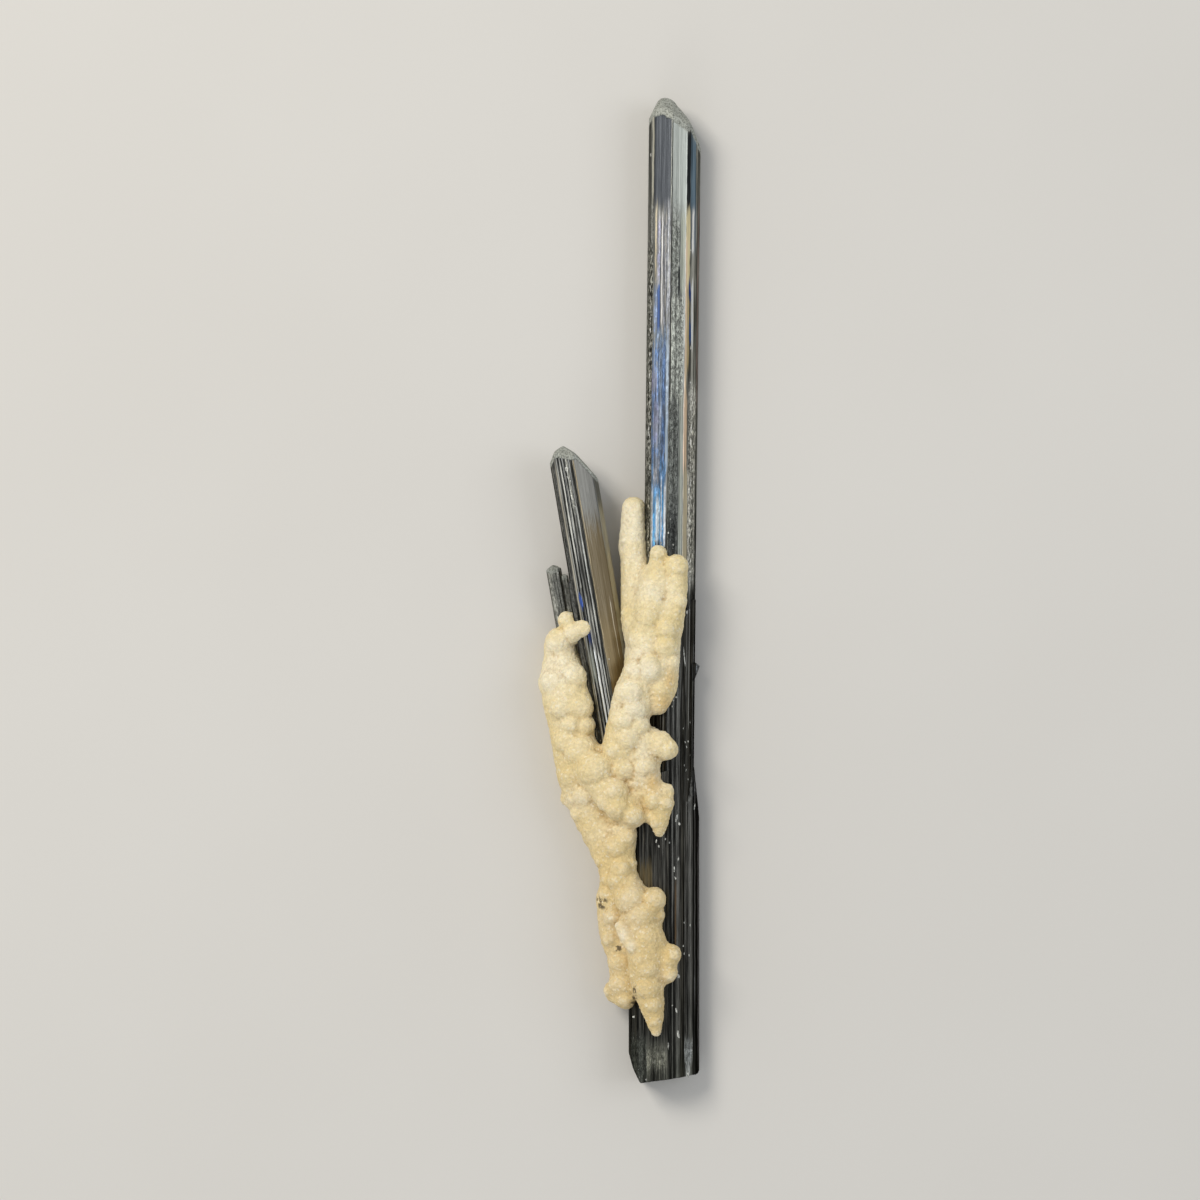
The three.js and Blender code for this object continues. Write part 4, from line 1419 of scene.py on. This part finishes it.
    def body(self) -> Mesh:
        """Runs the lumps together to one soft skin.

        Returns:
            The skin.
        """
        mass = bmesh.new()
        for x, y, z, radius in self.lumps():
            ball = bmesh.ops.create_icosphere(mass, subdivisions=3, radius=radius + self.swell)
            bmesh.ops.translate(mass, verts=ball["verts"], vec=(x, y, z))
        mesh = settled(mass, bpy.data.meshes.new(self.name))
        mesh = evaluated(self.name, mesh, "REMESH", mode="VOXEL", voxel_size=self.voxel * 2)
        self.bulged(mesh)
        mesh = evaluated(self.name, mesh, "REMESH", mode="VOXEL", voxel_size=self.voxel)
        return evaluated(self.name, mesh, "SMOOTH", factor=0.5, iterations=self.softening)

    def bulged(self, mesh: Mesh) -> None:
        """Sets the bulges in the front of the mass.

        Args:
            mesh: The mass, which gains them.
        """
        mass = bmesh.new()
        mass.from_mesh(mesh)
        front = BVHTree.FromBMesh(mass)
        for x, y, radius, share in self.bulges:
            spot, normal = front.ray_cast(Vector((x, y, ABOVE)), DOWN)[:2]
            if spot is None:
                continue
            middle = spot - normal * radius * (1 - share)
            left = front.ray_cast(Vector((-BESIDE, middle.y, middle.z)), Vector((1.0, 0.0, 0.0)))[0]
            right = front.ray_cast(Vector((BESIDE, middle.y, middle.z)), Vector((-1.0, 0.0, 0.0)))[0]
            if left and right:
                lowest, highest = left.x + radius - self.margin, right.x - radius + self.margin
                middle.x = min(max(middle.x, lowest), highest)
            middle.z = min(middle.z, self.ceiling - radius)
            ball = bmesh.ops.create_icosphere(mass, subdivisions=3, radius=radius)
            bmesh.ops.translate(mass, verts=ball["verts"], vec=middle)
        settled(mass, mesh)

    def roughened(self, mesh: Mesh) -> None:
        """Raises lumps, nodules and grains on the skin, and flattens what lies on the floor.

        Args:
            mesh: The skin, which is changed.
        """
        spots = places(mesh).astype(float)
        normals = np.array([vertex.normal[:] for vertex in mesh.vertices])
        coarse = 1 - self.marked(spots, self.pale)
        rises = []
        for spot in spots:
            at = Vector(spot)
            swelling = self.swellings[0] * noise.fractal(at * self.swellings[1], 1.0, 2.0, 2)
            nodules = sum(
                height * (self.nodule_level - noise.voronoi(at * frequency)[0][0] ** 2)
                for height, frequency in self.nodules
            )
            grains = self.grains[0] * noise.fractal(at * self.grains[1], 0.8, 2.0, 3)
            rises.append(swelling + nodules + grains)
        spots += normals * (np.array(rises) * coarse)[:, None]
        spots[:, 2] = np.maximum(spots[:, 2], 0.0)
        mesh.vertices.foreach_set("co", spots.astype(np.float32).ravel())
        mesh.update()

    def marked(self, spots: np.ndarray, marks: tuple[Mark, ...]) -> np.ndarray:
        """Finds how strongly marks lie on places.

        Args:
            spots: The places.
            marks: The marks.

        Returns:
            0 away from the marks and up to 1 in their middles.
        """
        weight = np.zeros(len(spots))
        for x, y, across, along in marks:
            far = ((spots[:, 0] - x) / across) ** 2 + ((spots[:, 1] - y) / along) ** 2
            weight = np.maximum(weight, np.exp(-far))
        return weight

    def creases(self, mesh: Mesh) -> tuple[kdtree.KDTree, np.ndarray]:
        """Measures how hollow each place of the skin is, against a much softer copy of it.

        Args:
            mesh: The skin.

        Returns:
            A tree of its places, and the hollowness at each.
        """
        soft = evaluated("soft", mesh.copy(), "SMOOTH", factor=0.5, iterations=60)
        normals = np.array([vertex.normal[:] for vertex in mesh.vertices])
        hollow = ((places(soft) - places(mesh)) * normals).sum(1)
        bpy.data.meshes.remove(soft)
        tree = kdtree.KDTree(len(hollow))
        for i, spot in enumerate(places(mesh)):
            tree.insert(spot, i)
        tree.balance()
        return tree, hollow

    def carved(self, mesh: Mesh, nodes: list[bpy.types.Object]) -> Mesh:
        """Cuts the crystals' seats out of the crust.

        Args:
            mesh: The skin, in the specimen's frame.
            nodes: The solids of the crystals, in the part's frame.

        Returns:
            The crust without its seats.
        """
        seats = bmesh.new()
        for node in nodes:
            seats.from_mesh(node.data)
        bmesh.ops.remove_doubles(seats, verts=seats.verts, dist=1e-7)
        cutter_mesh = settled(seats, bpy.data.meshes.new("seats"))
        cutter_mesh.transform(FROM_PART)
        cutter = placed("seats", cutter_mesh)
        cut = {"operation": "DIFFERENCE", "solver": "MANIFOLD", "object": cutter}
        result = evaluated(self.name, mesh, "BOOLEAN", **cut)
        bpy.data.objects.remove(cutter)
        bpy.data.meshes.remove(cutter_mesh)
        return result

    def cleared(self, mesh: Mesh) -> None:
        """Takes away the crumbs that the cut has left, those with fewer vertices than the smallest kept lump.

        Args:
            mesh: The crust, which is changed.
        """
        whole = bmesh.new()
        whole.from_mesh(mesh)
        left = set(whole.verts)
        while left:
            island, front = set(), [left.pop()]
            while front:
                vertex = front.pop()
                island.add(vertex)
                near = {edge.other_vert(vertex) for edge in vertex.link_edges} & left
                left -= near
                front += near
            if len(island) < self.smallest:
                bmesh.ops.delete(whole, geom=list(island), context="VERTS")
        settled(whole, mesh)

    def build(self, nodes: list[bpy.types.Object]) -> bpy.types.Object:
        """Builds and dresses it.

        Args:
            nodes: The solids of the crystals that it grips.

        Returns:
            The crust.
        """
        mesh = self.body()
        self.roughened(mesh)
        tree, hollow = self.creases(mesh)
        mesh = self.carved(mesh, nodes)
        self.cleared(mesh)
        marks = {"pale": self.pale, "honey": self.honey, "dirt": self.dirt}
        values = {key: self.marked(places(mesh), spots) for key, spots in marks.items()}
        values["crease"] = np.array([hollow[tree.find(vertex.co)[1]] for vertex in mesh.vertices])
        noted(mesh, values)
        piece = finished(self.name, mesh, CalciteFinish().material(), self.sharp_deg)
        declare(piece, "calcite", "calcite_crust")
        return piece


@dataclass
class Flecks:
    """Small pale specks and slivers on the crystals' faces: partly calcite and partly painted glints, bright
    solids set where the faces catch the light.

    Each is given as x, y, its length, its width and its turn in degrees, and sits in the face under it. A
    chip is a ball with its vertices jittered, pressed to the shape's shares of its width, its length and its
    width again.
    """

    name: str = "chips_and_glints"
    seed: int = 5
    jitter: float = 0.25
    shape: Point = (0.8, 0.9, 0.3)
    sharp_deg: float = 20.0
    flecks: tuple[Fleck, ...] = (
        # On the long crystal, from the tip down.
        (0.18, 168.9, 0.7, 0.55, 0), (-0.18, 148.1, 0.4, 0.29, 20), (0.00, 144.9, 0.5, 0.27, -20),
        (-0.18, 143.1, 0.4, 0.27, 0), (-0.18, 140.3, 0.5, 0.27, 10), (0.00, 139.0, 0.4, 0.27, 0),
        (-0.18, 136.1, 0.5, 0.27, 0), (-0.27, 131.2, 0.5, 0.36, 0), (-0.27, 118.8, 2.5, 0.47, -8),
        (7.37, 151.4, 0.5, 0.55, 0), (7.37, 133.8, 0.9, 0.55, 0), (7.37, 127.4, 0.5, 0.55, 0),
        (7.28, 108.8, 4.0, 0.36, -9), (3.64, 102.6, 0.4, 0.27, 0), (3.28, 100.1, 0.4, 0.27, 0),
        (4.19, 97.9, 0.4, 0.27, 0), (0.91, 98.6, 0.5, 0.27, 20), (2.00, 98.3, 0.5, 0.27, -15),
        # Below the crust's shoulder.
        (6.37, 87.2, 0.7, 0.55, 0), (6.73, 85.7, 0.9, 0.64, 10), (6.01, 85.9, 0.5, 0.45, 0),
        (6.19, 77.7, 4.5, 0.44, 10), (4.73, 70.3, 0.4, 0.36, 0), (4.19, 69.7, 0.4, 0.29, 0),
        (4.00, 68.6, 0.4, 0.27, 0), (6.01, 64.6, 0.4, 0.27, 0), (7.28, 65.7, 0.5, 0.25, 0),
        (6.37, 62.1, 0.5, 0.27, 30), (6.64, 61.2, 0.4, 0.27, 0), (6.92, 62.2, 0.4, 0.22, 0),
        (6.19, 57.9, 0.4, 0.27, 0), (6.55, 57.0, 0.5, 0.27, -20), (7.28, 59.7, 0.4, 0.18, 0),
        (6.92, 55.3, 0.4, 0.25, 0),
        # Beside the lobes.
        (4.82, 48.4, 1.6, 0.62, -20), (5.28, 47.3, 0.7, 0.44, 30), (1.09, 44.2, 0.7, 0.33, 10),
        (1.55, 43.3, 0.5, 0.36, 0), (2.73, 44.6, 0.4, 0.22, 0), (3.46, 43.9, 0.4, 0.29, 0),
        (4.37, 39.1, 1.3, 0.25, 0), (5.10, 40.9, 1.1, 0.29, -15), (4.55, 37.5, 0.7, 0.33, 30),
        (8.10, 50.2, 1.5, 0.29, -14),
        # Down to the foot.
        (6.19, 29.3, 0.4, 0.25, 0), (7.28, 28.8, 0.5, 0.22, 0), (6.01, 25.1, 0.4, 0.33, 0),
        (6.19, 23.7, 0.7, 0.33, 0), (7.10, 23.3, 0.5, 0.25, 0), (5.10, 19.7, 0.9, 0.55, 30),
        (4.00, 14.4, 0.4, 0.29, 0), (4.73, 13.5, 1.1, 0.36, 15), (5.10, 9.1, 1.6, 0.58, 12),
        (3.28, 7.1, 1.5, 0.25, 0), (-2.91, 12.2, 0.5, 0.91, 0), (-0.73, 0.9, 0.5, 0.36, 0),
        (0.18, 0.5, 0.4, 0.25, 0), (6.92, 1.8, 1.6, 0.47, 0), (1.82, 9.3, 0.4, 0.22, 0),
        # On the leaning crystal.
        (-15.29, 111.6, 0.9, 0.29, 10), (-14.92, 110.1, 0.7, 0.33, 40), (-14.47, 109.4, 0.5, 0.33, 0),
        (-14.01, 106.1, 0.9, 0.29, 10), (-13.65, 104.8, 0.7, 0.33, 45), (-14.20, 105.6, 0.5, 0.25, 0),
        (-16.74, 92.8, 0.4, 0.29, 0), (-7.46, 77.2, 0.3, 0.29, 0),
    )

    def build(self, carriers: list[bpy.types.Object]) -> bpy.types.Object:
        """Builds and dresses them.

        Args:
            carriers: The crystals that they sit on.

        Returns:
            The chips, as one piece.
        """
        source = random.Random(self.seed)
        faces = bmesh.new()
        for carrier in carriers:
            faces.from_mesh(carrier.data)
        faces.transform(FROM_PART)
        ground = BVHTree.FromBMesh(faces)
        faces.free()
        chips_and_glints = bmesh.new()
        for x, y, length, width, turn in self.flecks:
            spot, normal = ground.ray_cast(Vector((x, y, ABOVE)), DOWN)[:2]
            if spot is None:
                continue
            chip = bmesh.ops.create_icosphere(chips_and_glints, subdivisions=2, radius=0.5)["verts"]
            for vertex in chip:
                vertex.co *= 1 + source.uniform(-self.jitter, self.jitter)
            lay = (-DOWN).rotation_difference(normal).to_matrix().to_4x4()
            across, along, thick = self.shape
            size = Matrix.Diagonal((across * width, along * length, thick * width, 1.0))
            move = Matrix.Translation(spot) @ lay @ Matrix.Rotation(math.radians(turn), 4, "Z") @ size
            bmesh.ops.transform(chips_and_glints, matrix=move, verts=chip)
        mesh = settled(chips_and_glints, bpy.data.meshes.new(self.name))
        piece = finished(self.name, mesh, self.material(), self.sharp_deg)
        declare(piece, "calcite")
        return piece

    def material(self) -> Material:
        """Builds their material.

        Returns:
            The material.
        """
        shader = Shader("ChipsAndGlints")
        place = shader.node("TexCoord").outputs["Object"]
        # Painted glints: the colour runs from grey up to near white.
        sheen = shader.noise(place, 2600.0, 3.0)
        colour = shader.mix(shader.span(sheen, 0.35, 0.65), linear("#7C7C76"), linear("#DADAD2"))
        roughness, normal = shader.span(sheen, 0.3, 0.7, 0.25, 0.5), shader.bump(sheen, 0.1, 0.5)
        return shader.close(Base_Color=colour, Roughness=roughness, Normal=normal)


@dataclass
class Studio:
    """The pale floor, the soft lights and the camera, which looks straight down.

    Each lamp is given as its name, its place, its side and its power, in metres and watts, and its colour.
    """

    camera_place: Point = (-3.6, -1.84, 706.0)
    lens: float = 115.4
    floor_size: float = 4.0
    floor_colour: str = "#D9D6D0"
    world_colour: str = "#E8ECF0"
    world_strength: float = 0.5
    lamps: tuple[Lamp, ...] = (
        ("key", (-0.5, 0.45, 0.75), 0.4, 6.0, "#FFFAF2"),
        ("fill", (0.65, 0.1, 0.6), 0.5, 1.4, "#F4F8FF"),
        ("low", (-0.2, -0.7, 0.35), 0.4, 0.7, "#FFFFFF"),
    )

    def floor(self) -> None:
        """Lays the floor."""
        slab = bmesh.new()
        bmesh.ops.create_grid(slab, x_segments=1, y_segments=1, size=self.floor_size / 2)
        mesh = settled(slab, bpy.data.meshes.new("floor"))
        shader = Shader("Paper")
        place = shader.node("TexCoord").outputs["Object"]
        cloud = shader.noise(place, 9.0, 3.0)
        pale, dark = linear(self.floor_colour), linear("#CFCBC4")
        colour = shader.mix(shader.span(cloud, 0.3, 0.7, 0.0, 0.25), pale, dark)
        normal = shader.bump(shader.noise(place, 1400.0, 2.0), 0.05, 0.2)
        mesh.materials.append(shader.close(Base_Color=colour, Roughness=0.85, Normal=normal))
        placed("floor", mesh)

    def light(self, name: str, place: Point, size: float, watts: float, colour: str) -> None:
        """Hangs a square soft light that faces the specimen.

        Args:
            name: The light's name.
            place: Where it hangs, in metres.
            size: Its side, in metres.
            watts: Its power.
            colour: Its colour.
        """
        lamp = bpy.data.lights.new(name, "AREA")
        lamp.size = size
        lamp.energy = watts
        lamp.color = linear(colour)[:3]
        holder = placed(name, lamp)
        holder.location = place
        holder.rotation_euler = (-Vector(place)).to_track_quat("-Z", "Y").to_euler()

    def build(self) -> None:
        """Sets the whole stage."""
        scene = bpy.context.scene
        scene.view_settings.view_transform = "Standard"
        world = bpy.data.worlds.new("Studio")
        world.use_nodes = True
        background = world.node_tree.nodes["Background"]
        background.inputs["Color"].default_value = linear(self.world_colour)
        background.inputs["Strength"].default_value = self.world_strength
        scene.world = world
        self.floor()
        for lamp in self.lamps:
            self.light(*lamp)
        camera = bpy.data.cameras.new("camera")
        camera.lens = self.lens
        camera.sensor_width = 36.0
        camera.clip_start = 0.01
        scene.camera = placed("camera", camera)
        scene.camera.location = Vector(self.camera_place) * METRES


def main() -> None:
    """Builds the specimen and its stage, and logs the faces of each piece."""
    logging.basicConfig(level=logging.INFO, format="%(message)s")
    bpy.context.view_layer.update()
    Studio().build()
    crystals = [builder.build() for builder in (MainCrystal(), SideCrystal(), StubCrystals())]
    nodes = [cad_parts[key] for key in ("main_crystal", "side_crystal", "stub_crystals")]
    crust = CalciteCrust().build(nodes)
    chips_and_glints = Flecks().build(crystals)
    for piece in (*crystals, crust, chips_and_glints):
        log.info("%s: %d faces", piece.name, len(piece.data.polygons))


if __name__ == "__main__":
    main()
